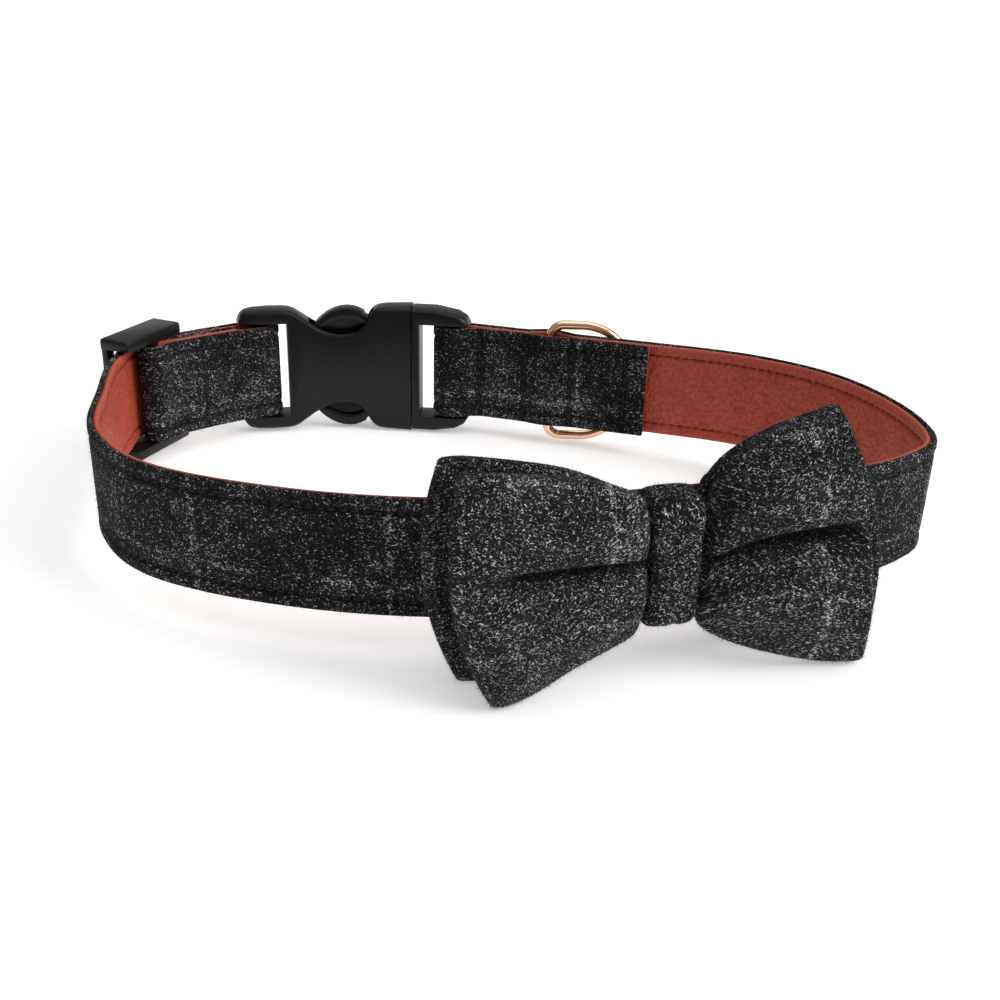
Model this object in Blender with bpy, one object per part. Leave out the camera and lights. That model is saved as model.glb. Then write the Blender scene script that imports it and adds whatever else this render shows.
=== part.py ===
"""Pet bow tie collar: a buckled strap of tweed on leather, carrying a bow of two pinched layers.

Blender 4.5, metres, +Z up. Everything is modelled in the collar's own frame: +X to the right
as seen from the front, -Y to the front where the bow sits, and Z across the strap, with the
strap's lower edge at zero. The last step stands the collar on its three lowest points.
"""

import math

import bmesh
import bpy
import numpy as np
from mathutils import Matrix, Vector

# Strap
STRAP_WIDTH = 0.024
TWEED_THICKNESS = 0.0011
LINING_THICKNESS = 0.0010
PLY_GAP = 0.0002
RUN_GAP = 0.0003
EDGE_CHAMFER = 0.0004
LOOP_HALF_WIDTH = 0.090
LOOP_HALF_DEPTH = 0.056
STEP_ALONG_STRAP = 0.0048
STEP_AT_HARDWARE = 0.0016
BAR_RISE_REACH = 0.0095

# Fold-back at the male end, with the pocket for the ring
FOLD_BACK_LENGTH = 0.0516
POCKET_RISE_REACH = 0.0074
POCKET_OUTWARD_SHARE = 0.70

# Side-release buckle
BUCKLE_HALF_HEIGHT = 0.016
BUCKLE_THICKNESS = 0.0076
BUCKLE_CURVE_RADIUS = 0.120
BUCKLE_CORNER = 0.0016
BUCKLE_WALL = 0.0012
SEAM_FROM_MIDDLE = 0.0058
FEMALE_LENGTH = 0.0444
MALE_LENGTH = 0.0152
SEAM_GAP = 0.0003
FEMALE_BAR_SET_IN = 0.0037
MALE_BAR_SET_IN = 0.0030
FEMALE_SLOT_LENGTH = 0.0047
MALE_SLOT_LENGTH = 0.0063
STRAP_BAR_WIDTH = 0.0036
STRAP_BAR_THICKNESS = 0.0034
STRAP_BAR_CORNER = 0.0006
STRAP_BAR_EDGE_SHARE = 0.62
BAR_CLEARANCE = 0.0003
TURN_PAST_BAR = 0.0004
SLOT_SIDE_CLEARANCE = 0.0006
SLOT_CORNER = 0.0012
ARM_LENGTH = 0.0255
ARM_CORNER = 0.0007
ARM_CLEARANCE = 0.0004
ARM_TIP_ROOM = 0.0012
ARM_STRAIGHT_SHARE = 0.44
ARM_ROOT_EDGE_SHARE = 0.82
ARM_WEB_THICKNESS = 0.0018
TONGUE_HALF_HEIGHT = 0.0030
TONGUE_CORNER = 0.0006
TONGUE_PAST_ARMS = 0.0040
TONGUE_END_ROOM = 0.0010
TONGUE_SIDE_ROOM = 0.0042

# Slide adjuster
SLIDE_LENGTH = 0.0205
SLIDE_RAIL_HEIGHT = 0.0026
SLIDE_BAR_INSET = 0.00015
SLIDE_BAR_WIDTH = 0.0028
SLIDE_BAR_THICKNESS = 0.0020
SLIDE_BAR_CORNER = 0.0007
SLIDE_FRAME_CORNER = 0.0009
SLIDE_STATION = 0.0315
SLIDE_SET_IN = 0.0016
SLIDE_CLEARANCE = 0.0003
SLIDE_SIDE_CLEARANCE = 0.0006
SLIDE_RISE_REACH = 0.0115
TAIL_LENGTH = 0.0240

# D-ring
RING_WIRE_RADIUS = 0.0012
RING_EDGE_CLEARANCE = 0.0018
RING_DROP = 0.0007
RING_ROOM = 0.0005
RING_DEPTH = 0.0220
RING_LEG = 0.0045
RING_CORNER = 0.0036
RING_STATION = 0.0262
RING_REST_ANGLE = math.radians(13.0)

# Bow
BOW_CENTRE_Z = 0.0160
BOW_YAW = math.radians(15.0)
BOW_REACH = 0.0400
BOW_HALF_HEIGHT = 0.0242
LAYER_THICKNESS = 0.0030
LAYER_GAP = 0.0004
FRONT_SPREAD_AT_END = 0.0058
BACK_SPREAD_AT_END = 0.0006
FRONT_PUFF = 0.0062
FRONT_PLEAT_DEPTH = 0.0060
BACK_PUFF = 0.0004
RIM_THICKNESS_SHARE = 0.45
END_THICKNESS_SHARE = 0.55
KNOT_WIDTH = 0.0100
KNOT_HALF_HEIGHT = 0.0128
KNOT_DROP = 0.0020
KNOT_WALL = 0.0020
KNOT_CORNER = 0.0030
KNOT_CLEARANCE = 0.0004
KNOT_CROWN = 0.0007
BOW_TO_STRAP_GAP = 0.0004

# Elastic loops behind the bow
ELASTIC_WIDTH = 0.0080
ELASTIC_THICKNESS = 0.0010
ELASTIC_CORNER = 0.0012
ELASTIC_CLEARANCE = 0.0004
ELASTIC_FROM_KNOT = 0.0135

# How far a bar reaches into the frame that it is joined to, and a cutter past what it cuts
JOIN_OVERLAP = 0.0012
CUT_PAST = 0.0030

# Places round the loop
BUCKLE_MIDDLE_X = -0.3333 * LOOP_HALF_WIDTH
BUCKLE_MIDDLE_Y = 1.0143 * LOOP_HALF_DEPTH
SEAM_X = BUCKLE_MIDDLE_X + SEAM_FROM_MIDDLE
FEMALE_BAR_X = SEAM_X - FEMALE_LENGTH + STRAP_BAR_WIDTH / 2 + FEMALE_BAR_SET_IN
MALE_BAR_X = SEAM_X + MALE_LENGTH - STRAP_BAR_WIDTH / 2 - MALE_BAR_SET_IN
BOW_X = 0.3156 * LOOP_HALF_WIDTH

# Sizes that follow from those above
STACK = TWEED_THICKNESS + PLY_GAP + LINING_THICKNESS
RUN_PITCH = STACK + RUN_GAP
STRAP_MIDDLE_Z = STRAP_WIDTH / 2
BAR_SPREAD = STACK + STRAP_BAR_THICKNESS + 2 * BAR_CLEARANCE
RING_SPREAD = STACK + 2 * RING_WIRE_RADIUS + 2 * RING_ROOM

# The strap's middle line seen from above, clockwise from just past the male bar to just
# before the female bar, as shares of the loop's half width (to the right) and half depth
# (to the back). Its two ends lie on the buckle's bars.
LOOP_PLAN = (
    # right, back
    (0.055, 0.957),
    (0.400, 0.808),
    (0.667, 0.668),
    (0.857, 0.438),
    (0.964, 0.110),
    (0.986, -0.230),
    (0.913, -0.415),
    (0.744, -0.582),
    (0.378, -0.768),
    (0.000, -0.914),
    (-0.378, -0.898),
    (-0.728, -0.721),
    (-0.902, -0.411),
    (-0.967, 0.000),
    (-1.007, 0.372),
    (-0.970, 0.561),
    (-0.908, 0.732),
)

# The female body along its length from the strap end to the seam, as shares of its length,
# of the buckle's half height and of its thickness.
FEMALE_OUTLINE = (
    # along, half height, thickness
    (0.000, 0.80, 0.72),
    (0.020, 0.93, 0.77),
    (0.080, 1.00, 0.88),
    (0.250, 1.00, 1.00),
    (0.320, 0.95, 1.00),
    (0.415, 0.76, 1.00),
    (0.500, 0.64, 1.00),
    (0.580, 0.60, 1.00),
    (0.660, 0.63, 1.00),
    (0.720, 0.76, 1.00),
    (0.750, 0.90, 1.00),
    (0.785, 1.00, 1.00),
    (0.850, 1.04, 1.00),
    (1.000, 1.06, 1.00),
)

# The male body from the seam to its strap end, as the same shares.
MALE_OUTLINE = (
    # along, half height, thickness
    (0.00, 1.04, 1.00),
    (0.40, 1.04, 1.00),
    (0.78, 0.98, 0.95),
    (0.93, 0.91, 0.82),
    (1.00, 0.80, 0.75),
)

# One spring arm of the male half, along it from its root to its tip, as shares of the
# arm's length and of the buckle's half height. A thin web joins the thick pad's inner edge
# to the web edge, so that nothing shows through the waist.
SPRING_ARM = (
    # along, outer edge, inner edge, web edge
    (0.00, ARM_ROOT_EDGE_SHARE, 0.58, 0.56),
    (ARM_STRAIGHT_SHARE, ARM_ROOT_EDGE_SHARE, 0.62, 0.55),
    (0.52, 0.93, 0.72, 0.54),
    (0.62, 1.00, 0.80, 0.54),
    (0.74, 1.00, 0.80, 0.54),
    (0.86, 0.92, 0.72, 0.54),
    (0.95, 0.80, 0.64, 0.55),
    (1.00, 0.70, 0.60, 0.56),
)

# Cross-sections of the bow's two layers from the left end to the right end, as shares of the
# bow's reach, half height, puff and pleat depth. "bulge" moves the middle of a section
# outwards, "apart" is the share of the layers' spread at the ends.
FRONT_LAYER = (
    # top out, rise, bottom out, drop, bulge, apart, puff, pleat
    (-1.010, 0.830, -0.850, 1.010, 0.115, 1.00, 0.30, 0.04),
    (-0.920, 0.830, -0.770, 1.020, 0.090, 0.92, 0.70, 0.10),
    (-0.720, 0.770, -0.640, 0.970, 0.040, 0.72, 1.00, 0.40),
    (-0.480, 0.680, -0.460, 0.835, 0.000, 0.46, 1.00, 0.85),
    (-0.280, 0.560, -0.270, 0.700, 0.000, 0.28, 0.72, 0.85),
    (-0.160, 0.420, -0.160, 0.580, 0.000, 0.12, 0.30, 0.45),
    (-0.138, 0.320, -0.138, 0.480, 0.000, 0.00, 0.00, 0.00),
    (0.000, 0.310, 0.000, 0.470, 0.000, 0.00, 0.00, 0.00),
    (0.138, 0.320, 0.138, 0.480, 0.000, 0.00, 0.00, 0.00),
    (0.160, 0.440, 0.160, 0.580, 0.000, 0.12, 0.30, 0.45),
    (0.250, 0.740, 0.270, 0.740, 0.000, 0.28, 0.72, 0.85),
    (0.400, 0.920, 0.470, 0.890, 0.000, 0.45, 1.00, 0.85),
    (0.550, 1.000, 0.720, 0.990, 0.030, 0.70, 1.00, 0.42),
    (0.650, 1.035, 0.900, 1.010, 0.070, 0.90, 0.75, 0.12),
    (0.690, 1.040, 0.960, 0.985, 0.080, 1.00, 0.40, 0.04),
)
BACK_LAYER = (
    # top out, rise, bottom out, drop, bulge, apart, puff, pleat
    (-1.040, 0.790, -0.950, 1.020, 0.115, 1.00, 0.30, 0.00),
    (-0.940, 0.795, -0.850, 1.030, 0.090, 0.92, 0.70, 0.00),
    (-0.720, 0.735, -0.680, 0.970, 0.040, 0.72, 1.00, 0.00),
    (-0.480, 0.640, -0.460, 0.820, 0.000, 0.46, 1.00, 0.00),
    (-0.280, 0.500, -0.270, 0.660, 0.000, 0.28, 0.72, 0.00),
    (-0.160, 0.390, -0.160, 0.540, 0.000, 0.12, 0.30, 0.00),
    (-0.138, 0.320, -0.138, 0.480, 0.000, 0.00, 0.00, 0.00),
    (0.000, 0.310, 0.000, 0.470, 0.000, 0.00, 0.00, 0.00),
    (0.138, 0.320, 0.138, 0.480, 0.000, 0.00, 0.00, 0.00),
    (0.160, 0.440, 0.160, 0.540, 0.000, 0.12, 0.30, 0.00),
    (0.260, 0.650, 0.270, 0.690, 0.000, 0.28, 0.72, 0.00),
    (0.430, 0.810, 0.500, 0.840, 0.000, 0.45, 1.00, 0.00),
    (0.620, 0.920, 0.800, 0.970, 0.040, 0.70, 1.00, 0.00),
    (0.750, 0.980, 1.050, 1.020, 0.110, 0.90, 0.75, 0.00),
    (0.790, 0.980, 1.130, 1.020, 0.130, 1.00, 0.40, 0.00),
)
SECTIONS_PER_ROW = 2
POINTS_ACROSS = 13
PLEAT_HALF_WIDTH = 0.26


def clear_scene():
    for item in list(bpy.data.objects):
        bpy.data.objects.remove(item, do_unlink=True)


def make_material(name, colour, roughness, metallic):
    material = bpy.data.materials.new(name)
    material.use_nodes = True
    shader = material.node_tree.nodes["Principled BSDF"]
    shader.inputs["Base Color"].default_value = (*colour, 1.0)
    shader.inputs["Roughness"].default_value = roughness
    shader.inputs["Metallic"].default_value = metallic
    return material


def add_object(name, data, material, parent):
    item = bpy.data.objects.new(name, data)
    bpy.context.collection.objects.link(item)
    item.parent = parent
    if material is not None:
        data.materials.append(material)
    return item


def add_empty(name, parent=None):
    empty = bpy.data.objects.new(name, None)
    empty.empty_display_size = 0.01
    bpy.context.collection.objects.link(empty)
    empty.parent = parent
    return empty


def mesh_from(name, vertices, faces, smooth_angle=math.radians(40)):
    mesh = bpy.data.meshes.new(name)
    mesh.from_pydata([tuple(v) for v in vertices], [], faces)
    work = bmesh.new()
    work.from_mesh(mesh)
    bmesh.ops.recalc_face_normals(work, faces=work.faces)
    work.to_mesh(mesh)
    work.free()
    mesh.shade_smooth()
    mesh.set_sharp_from_angle(angle=smooth_angle)
    return mesh


def add_boolean(item, operation, other):
    modifier = item.modifiers.new(f"{operation.lower()} {other.name}", "BOOLEAN")
    modifier.operation = operation
    modifier.object = other
    modifier.solver = "EXACT"
    other.hide_render = True
    other.display_type = "WIRE"


def smooth_curve(points, per_span):
    """Points on a Catmull-Rom curve through the given points."""
    points = np.asarray(points, float)
    ends = np.vstack([2 * points[0] - points[1], points, 2 * points[-1] - points[-2]])
    found = []
    for i in range(len(points) - 1):
        a, b, c, d = ends[i : i + 4]
        for t in np.arange(per_span) / per_span:
            found.append(
                0.5 * (2 * b + (c - a) * t + (2 * a - 5 * b + 4 * c - d) * t**2
                       + (3 * b - a - 3 * c + d) * t**3)
            )
    found.append(points[-1])
    return np.array(found)


def spread_table(rows, per_row):
    """The rows of a table with smooth rows worked out between them."""
    return smooth_curve(rows, per_row)


def beside_bar(x, neighbour, side):
    """Where a straight run from the neighbour meets the turn that the strap makes at this x."""
    centre = np.array(bent(x, 0.0, 0.0)[:2])
    away = neighbour - centre
    turn = BAR_SPREAD / 2
    angle = math.atan2(away[1], away[0]) + side * math.acos(turn / np.hypot(*away))
    return centre + turn * np.array([math.cos(angle), math.sin(angle)])


class MiddleLine:
    """The strap's middle line from above, read by distance from the male bar."""

    def __init__(self):
        plan = np.array(LOOP_PLAN) * (LOOP_HALF_WIDTH, LOOP_HALF_DEPTH)
        first = beside_bar(MALE_BAR_X - TURN_PAST_BAR, plan[0], 1)
        last = beside_bar(FEMALE_BAR_X + TURN_PAST_BAR, plan[-1], -1)
        self.points = smooth_curve([first, *plan, last], 24)
        steps = np.hypot(*np.diff(self.points, axis=0).T)
        self.distance = np.concatenate([[0.0], np.cumsum(steps)])
        self.length = float(self.distance[-1])

    def at(self, distance):
        return np.array([np.interp(distance, self.distance, self.points[:, i]) for i in (0, 1)])

    def tangent(self, distance):
        step = 0.0008
        ahead = self.at(min(distance + step, self.length))
        behind = self.at(max(distance - step, 0.0))
        return (ahead - behind) / np.hypot(*(ahead - behind))

    def outward(self, distance):
        along = self.tangent(distance)
        return np.array([-along[1], along[0]])

    def aside(self, distance, offset):
        """The point beside the line, outwards of the loop where offset is positive."""
        return self.at(distance) + self.outward(distance) * offset

    def distance_at_x(self, x, front):
        """The distance at which the front or back run crosses this x."""
        half = self.length / 2
        near = (self.distance > half * 0.5) if front else (self.distance < half)
        candidates = np.where(near & (self.points[:, 1] < 0 if front else self.points[:, 1] > 0))[0]
        return float(self.distance[candidates[np.argmin(abs(self.points[candidates, 0] - x))]])


def hump(distance, centre, reach):
    """A smooth rise from 0 to 1 and back, over reach on each side of the centre."""
    away = abs(distance - centre) / reach
    return math.cos(away * math.pi / 2) ** 2 if away < 1 else 0.0


class StrapRoute:
    """Where each run of the strap lies beside the middle line."""

    def __init__(self, line):
        self.line = line
        self.slide_at = line.length - SLIDE_STATION
        self.slide_half = SLIDE_BAR_THICKNESS / 2 + SLIDE_CLEARANCE + STACK / 2
        self.fold_at = self.slide_at - (SLIDE_BAR_WIDTH - SLIDE_BAR_THICKNESS) / 2

    def main(self, distance):
        ring = (RING_SPREAD - RUN_PITCH) * POCKET_OUTWARD_SHARE
        rise = ring * hump(distance, RING_STATION, POCKET_RISE_REACH)
        step = 0.0004
        slope = (self.tail(distance + step) - self.tail(distance - step)) / (2 * step)
        return rise + self.tail(distance) + RUN_PITCH * math.hypot(1.0, slope)

    def fold_back(self, distance):
        ring = (RING_SPREAD - RUN_PITCH) * (1 - POCKET_OUTWARD_SHARE)
        near_bar = (BAR_SPREAD - RUN_PITCH) * hump(distance, 0.0, BAR_RISE_REACH)
        return -(RUN_PITCH + near_bar + ring * hump(distance, RING_STATION, POCKET_RISE_REACH))

    def return_run(self, distance):
        beside = 2 * RUN_PITCH
        at_slide = hump(distance, self.slide_at, SLIDE_RISE_REACH)
        at_bar = hump(distance, self.line.length, BAR_RISE_REACH) * (BAR_SPREAD - beside)
        return -(beside + at_bar) + at_slide * (beside - SLIDE_SET_IN - self.slide_half)

    def tail(self, distance):
        at_slide = hump(distance, self.slide_at, SLIDE_RISE_REACH)
        return -RUN_PITCH + at_slide * (RUN_PITCH - SLIDE_SET_IN + self.slide_half)

    def run(self, start, end, offset, step):
        count = max(2, int(abs(end - start) / step))
        return [self.line.aside(s, offset(s)) for s in np.linspace(start, end, count + 1)]

    @staticmethod
    def turn(start, end, pieces=7):
        """A half circle clockwise from one point to another, without its end points."""
        middle = (start + end) / 2
        arm = start - middle
        found = []
        for i in range(1, pieces):
            angle = -math.pi * i / pieces
            c, s = math.cos(angle), math.sin(angle)
            found.append(middle + np.array([c * arm[0] - s * arm[1], s * arm[0] + c * arm[1]]))
        return found

    def points(self):
        length = self.line.length
        fine, coarse = STEP_AT_HARDWARE, STEP_ALONG_STRAP
        fold = self.run(FOLD_BACK_LENGTH, 0.0, self.fold_back, fine * 1.5)
        near_ring = self.run(0.0, FOLD_BACK_LENGTH, self.main, fine * 1.5)
        slide_in = self.slide_at - SLIDE_RISE_REACH
        slide_out = self.slide_at + SLIDE_RISE_REACH
        round_neck = self.run(FOLD_BACK_LENGTH, slide_in, self.main, coarse)[1:]
        over_slide = self.run(slide_in, slide_out, self.main, fine)[1:]
        to_buckle = self.run(slide_out, length, self.main, coarse * 0.7)[1:]
        back_again = self.run(length, self.fold_at, self.return_run, fine * 1.5)
        tail = self.run(self.fold_at, self.slide_at + TAIL_LENGTH, self.tail, fine * 1.5)
        outward = fold + self.turn(fold[-1], near_ring[0]) + near_ring + round_neck
        outward += over_slide + to_buckle
        inward = self.turn(to_buckle[-1], back_again[0]) + back_again
        return np.array(outward + inward + self.turn(back_again[-1], tail[0]) + tail)


def strip(name, route, low, high, outer_is_high):
    """A ribbon of one ply between two offsets to the left of the route."""
    along = np.gradient(route, axis=0)
    along /= np.hypot(*along.T)[:, None]
    left = np.stack([-along[:, 1], along[:, 0]], axis=1)
    chamfer = EDGE_CHAMFER
    if outer_is_high:
        outline = ((low, 0), (high - chamfer, 0), (high, chamfer), (high, STRAP_WIDTH - chamfer),
                   (high - chamfer, STRAP_WIDTH), (low, STRAP_WIDTH))
    else:
        outline = ((low, chamfer), (low + chamfer, 0), (high, 0), (high, STRAP_WIDTH),
                   (low + chamfer, STRAP_WIDTH), (low, STRAP_WIDTH - chamfer))
    vertices = []
    for point, side in zip(route, left):
        for offset, z in outline:
            vertices.append((*(point + side * offset), z))
    return mesh_from(name, vertices, ring_faces(len(route), len(outline)))


def ring_faces(rings, around):
    """Quads between successive rings, with a face closing each end."""
    faces = []
    for i in range(rings - 1):
        for j in range(around):
            k = (j + 1) % around
            faces.append((i * around + j, i * around + k, (i + 1) * around + k, (i + 1) * around + j))
    faces.append(tuple(range(around)))
    faces.append(tuple((rings - 1) * around + j for j in reversed(range(around))))
    return faces


def bent(x, across, z):
    """A buckle point: x along the collar, across from the middle surface outwards."""
    along = x - BUCKLE_MIDDLE_X
    slope = -along / BUCKLE_CURVE_RADIUS
    tilt = math.atan(slope)
    y = BUCKLE_MIDDLE_Y - along**2 / (2 * BUCKLE_CURVE_RADIUS)
    return (x - across * math.sin(tilt), y + across * math.cos(tilt), z)


def rounded_section(x, low, high, half_thickness, corner, per_corner=3):
    corner = min(corner, (high - low) / 2 * 0.95, half_thickness * 0.95)
    side = half_thickness - corner
    centres = ((side, high - corner, 0.0), (-side, high - corner, 90.0),
               (-side, low + corner, 180.0), (side, low + corner, 270.0))
    points = []
    for across, z, start in centres:
        for i in range(per_corner):
            angle = math.radians(start + 90.0 * i / (per_corner - 1))
            points.append(bent(x, across + corner * math.cos(angle),
                               STRAP_MIDDLE_Z + z + corner * math.sin(angle)))
    return points


def bent_block(name, sections, corner, material, parent, per_corner=3):
    """A bar of rounded cross-sections (x, low, high, half thickness) that follows the buckle."""
    vertices = []
    for x, low, high, half_thickness in sections:
        vertices += rounded_section(x, low, high, half_thickness, corner, per_corner)
    mesh = mesh_from(name, vertices, ring_faces(len(sections), 4 * per_corner))
    return add_object(name, mesh, material, parent)


def strap_window(name, start, end, parent):
    """The cutter of the opening that the strap passes through."""
    half = STRAP_MIDDLE_Z + SLOT_SIDE_CLEARANCE
    stations = np.linspace(start, end, 4)
    sections = [(x, -half, half, BUCKLE_THICKNESS) for x in stations]
    return bent_block(name, sections, SLOT_CORNER, None, parent)


def strap_bar(name, centre, parent):
    half = STRAP_MIDDLE_Z + SLOT_SIDE_CLEARANCE + JOIN_OVERLAP
    stations = (centre - STRAP_BAR_WIDTH / 2, centre, centre + STRAP_BAR_WIDTH / 2)
    shares = (STRAP_BAR_EDGE_SHARE, 1.0, STRAP_BAR_EDGE_SHARE)
    sections = [(x, -half, half, STRAP_BAR_THICKNESS / 2 * share)
                for x, share in zip(stations, shares)]
    return bent_block(name, sections, STRAP_BAR_CORNER, None, parent)


def make_buckle_female(material, parent):
    thick = BUCKLE_THICKNESS / 2
    left = SEAM_X - FEMALE_LENGTH
    rows = spread_table(FEMALE_OUTLINE, 2)
    sections = [(left + a * FEMALE_LENGTH, -h * BUCKLE_HALF_HEIGHT, h * BUCKLE_HALF_HEIGHT,
                 thick * min(1.0, t)) for a, h, t in rows]
    body = bent_block("buckle_female", sections, BUCKLE_CORNER, material, parent, 4)
    slot_end = left + FEMALE_BAR_SET_IN + STRAP_BAR_WIDTH + FEMALE_SLOT_LENGTH
    add_boolean(body, "DIFFERENCE", strap_window("female_window", left - CUT_PAST, slot_end, parent))
    add_boolean(body, "UNION", strap_bar("female_bar", FEMALE_BAR_X, parent))
    hollow = bent_block("female_hollow", hollow_sections(), TONGUE_CORNER, None, parent)
    add_boolean(body, "DIFFERENCE", hollow)
    return body


def hollow_sections():
    """The hollow of the female half: narrow at its end, open at the waists, wide at the mouth."""
    arm_tip = SEAM_X - ARM_LENGTH
    narrow = TONGUE_HALF_HEIGHT + TONGUE_SIDE_ROOM
    open_half = BUCKLE_HALF_HEIGHT + CUT_PAST
    mouth = ARM_ROOT_EDGE_SHARE * BUCKLE_HALF_HEIGHT + ARM_CLEARANCE
    waist_from = arm_tip - ARM_TIP_ROOM
    waist_to = SEAM_X - ARM_STRAIGHT_SHARE * ARM_LENGTH + ARM_TIP_ROOM
    step = 0.0001
    rows = (
        (arm_tip - TONGUE_PAST_ARMS - TONGUE_END_ROOM, narrow),
        (waist_from - step, narrow),
        (waist_from, open_half),
        (waist_to, open_half),
        (waist_to + step, mouth),
        (SEAM_X + CUT_PAST, mouth),
    )
    return [(x, -half, half, BUCKLE_THICKNESS / 2 - BUCKLE_WALL) for x, half in rows]


def make_buckle_male(material, parent):
    thick = BUCKLE_THICKNESS / 2
    start = SEAM_X + SEAM_GAP
    end = SEAM_X + MALE_LENGTH
    sections = [(start + a * (end - start), -h * BUCKLE_HALF_HEIGHT, h * BUCKLE_HALF_HEIGHT,
                 thick * t) for a, h, t in MALE_OUTLINE]
    body = bent_block("buckle_male", sections, BUCKLE_CORNER, material, parent, 4)
    slot_start = end - MALE_BAR_SET_IN - STRAP_BAR_WIDTH - MALE_SLOT_LENGTH
    add_boolean(body, "DIFFERENCE", strap_window("male_window", slot_start, end + CUT_PAST, parent))
    add_boolean(body, "UNION", strap_bar("male_bar", MALE_BAR_X, parent))
    root = start + JOIN_OVERLAP
    inside = thick - BUCKLE_WALL - ARM_CLEARANCE
    tongue_tip = SEAM_X - ARM_LENGTH - TONGUE_PAST_ARMS
    tongue = [(x, -TONGUE_HALF_HEIGHT, TONGUE_HALF_HEIGHT, inside)
              for x in np.linspace(root, tongue_tip, 7)]
    add_boolean(body, "UNION", bent_block("male_tongue", tongue, TONGUE_CORNER, None, parent))
    for side, name in ((1, "upper"), (-1, "lower")):
        pad, web = [], []
        for a, outer, inner, web_edge in spread_table(SPRING_ARM, 2):
            x = root - a * (ARM_LENGTH + root - SEAM_X)
            reach = [side * share * BUCKLE_HALF_HEIGHT for share in (outer, inner, web_edge)]
            pad.append((x, *sorted(reach[:2]), inside))
            if ARM_STRAIGHT_SHARE < a < 1.0:
                middle = (reach[0] + reach[1]) / 2
                web.append((x, *sorted((middle, reach[2])), ARM_WEB_THICKNESS / 2))
        add_boolean(body, "UNION", bent_block(f"male_arm_{name}", pad, ARM_CORNER, None, parent))
        add_boolean(body, "UNION", bent_block(f"male_web_{name}", web, ARM_CORNER, None, parent))
    return body


def box_mesh(name, low, high, bevel=0.0):
    work = bmesh.new()
    bmesh.ops.create_cube(work, size=1.0)
    size = Vector(high) - Vector(low)
    middle = (Vector(high) + Vector(low)) / 2
    for vertex in work.verts:
        vertex.co = Vector([vertex.co[i] * size[i] + middle[i] for i in range(3)])
    if bevel:
        bmesh.ops.bevel(work, geom=work.edges[:], offset=bevel, segments=2, affect="EDGES", profile=0.5)
    bmesh.ops.recalc_face_normals(work, faces=work.faces)
    mesh = bpy.data.meshes.new(name)
    work.to_mesh(mesh)
    work.free()
    mesh.shade_smooth()
    mesh.set_sharp_from_angle(angle=math.radians(50))
    return mesh


def make_slide(route, material, parent):
    """The three-bar slide. Its own x runs along the strap, its y outwards."""
    line = route.line
    centre = line.aside(route.slide_at, -SLIDE_SET_IN)
    along = line.tangent(route.slide_at)
    outward = np.array([-along[1], along[0]])
    half = SLIDE_LENGTH / 2
    end_bar = half - SLIDE_BAR_INSET - SLIDE_BAR_WIDTH / 2
    thin = SLIDE_BAR_THICKNESS / 2
    under_bars = [route.slide_at + side * (end_bar + share * SLIDE_BAR_WIDTH)
                  for side in (-1, 1) for share in (-0.6, 0.0, 0.6)]
    strap_face = [line.aside(s, route.main(s) + STACK / 2) - centre for s in under_bars]
    set_out = max(float(offset @ outward) for offset in strap_face) + 2 * SLIDE_CLEARANCE + thin
    window = STRAP_MIDDLE_Z + SLIDE_SIDE_CLEARANCE
    tall = window + SLIDE_RAIL_HEIGHT
    proud = thin + SLIDE_BAR_INSET
    frame = box_mesh("slide_adjuster", (-half, -proud, -tall), (half, set_out + proud, tall),
                     SLIDE_FRAME_CORNER)
    body = add_object("slide_adjuster", frame, material, parent)
    opening = box_mesh("slide_window", (-half - CUT_PAST, -proud - CUT_PAST, -window),
                       (half + CUT_PAST, set_out + proud + CUT_PAST, window))
    cutter = add_object("slide_window", opening, None, body)
    add_boolean(body, "DIFFERENCE", cutter)
    bars = (("slide_bar_near", -end_bar, set_out), ("slide_bar_centre", 0.0, 0.0),
            ("slide_bar_far", end_bar, set_out))
    for name, x, y in bars:
        low = (x - SLIDE_BAR_WIDTH / 2, y - thin, -window - JOIN_OVERLAP)
        high = (x + SLIDE_BAR_WIDTH / 2, y + thin, window + JOIN_OVERLAP)
        bar = add_object(name, box_mesh(name, low, high, SLIDE_BAR_CORNER), None, body)
        add_boolean(body, "UNION", bar)
    body.location = (*centre, STRAP_MIDDLE_Z)
    body.rotation_euler = (0, 0, math.atan2(along[1], along[0]))
    return body


def ring_outline():
    """The D-ring's middle line: x away from the bar, z along it, bar at x = 0."""
    half = STRAP_MIDDLE_Z + RING_EDGE_CLEARANCE + RING_WIRE_RADIUS
    points = [(0.0, 0.0), (0.0, (half - RING_CORNER) * 0.5)]
    for i in range(5):
        angle = math.pi - math.pi / 2 * i / 4
        points.append((RING_CORNER * (1 + math.cos(angle)), half - RING_CORNER * (1 - math.sin(angle))))
    leg_end = RING_CORNER + RING_LEG
    arc = RING_DEPTH - leg_end
    for i in range(9):
        angle = math.pi / 2 - math.pi / 2 * i / 8
        points.append((leg_end + arc * math.cos(angle), half * math.sin(angle)))
    mirrored = [(x, -z) for x, z in reversed(points[1:-1])]
    return points + mirrored


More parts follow.
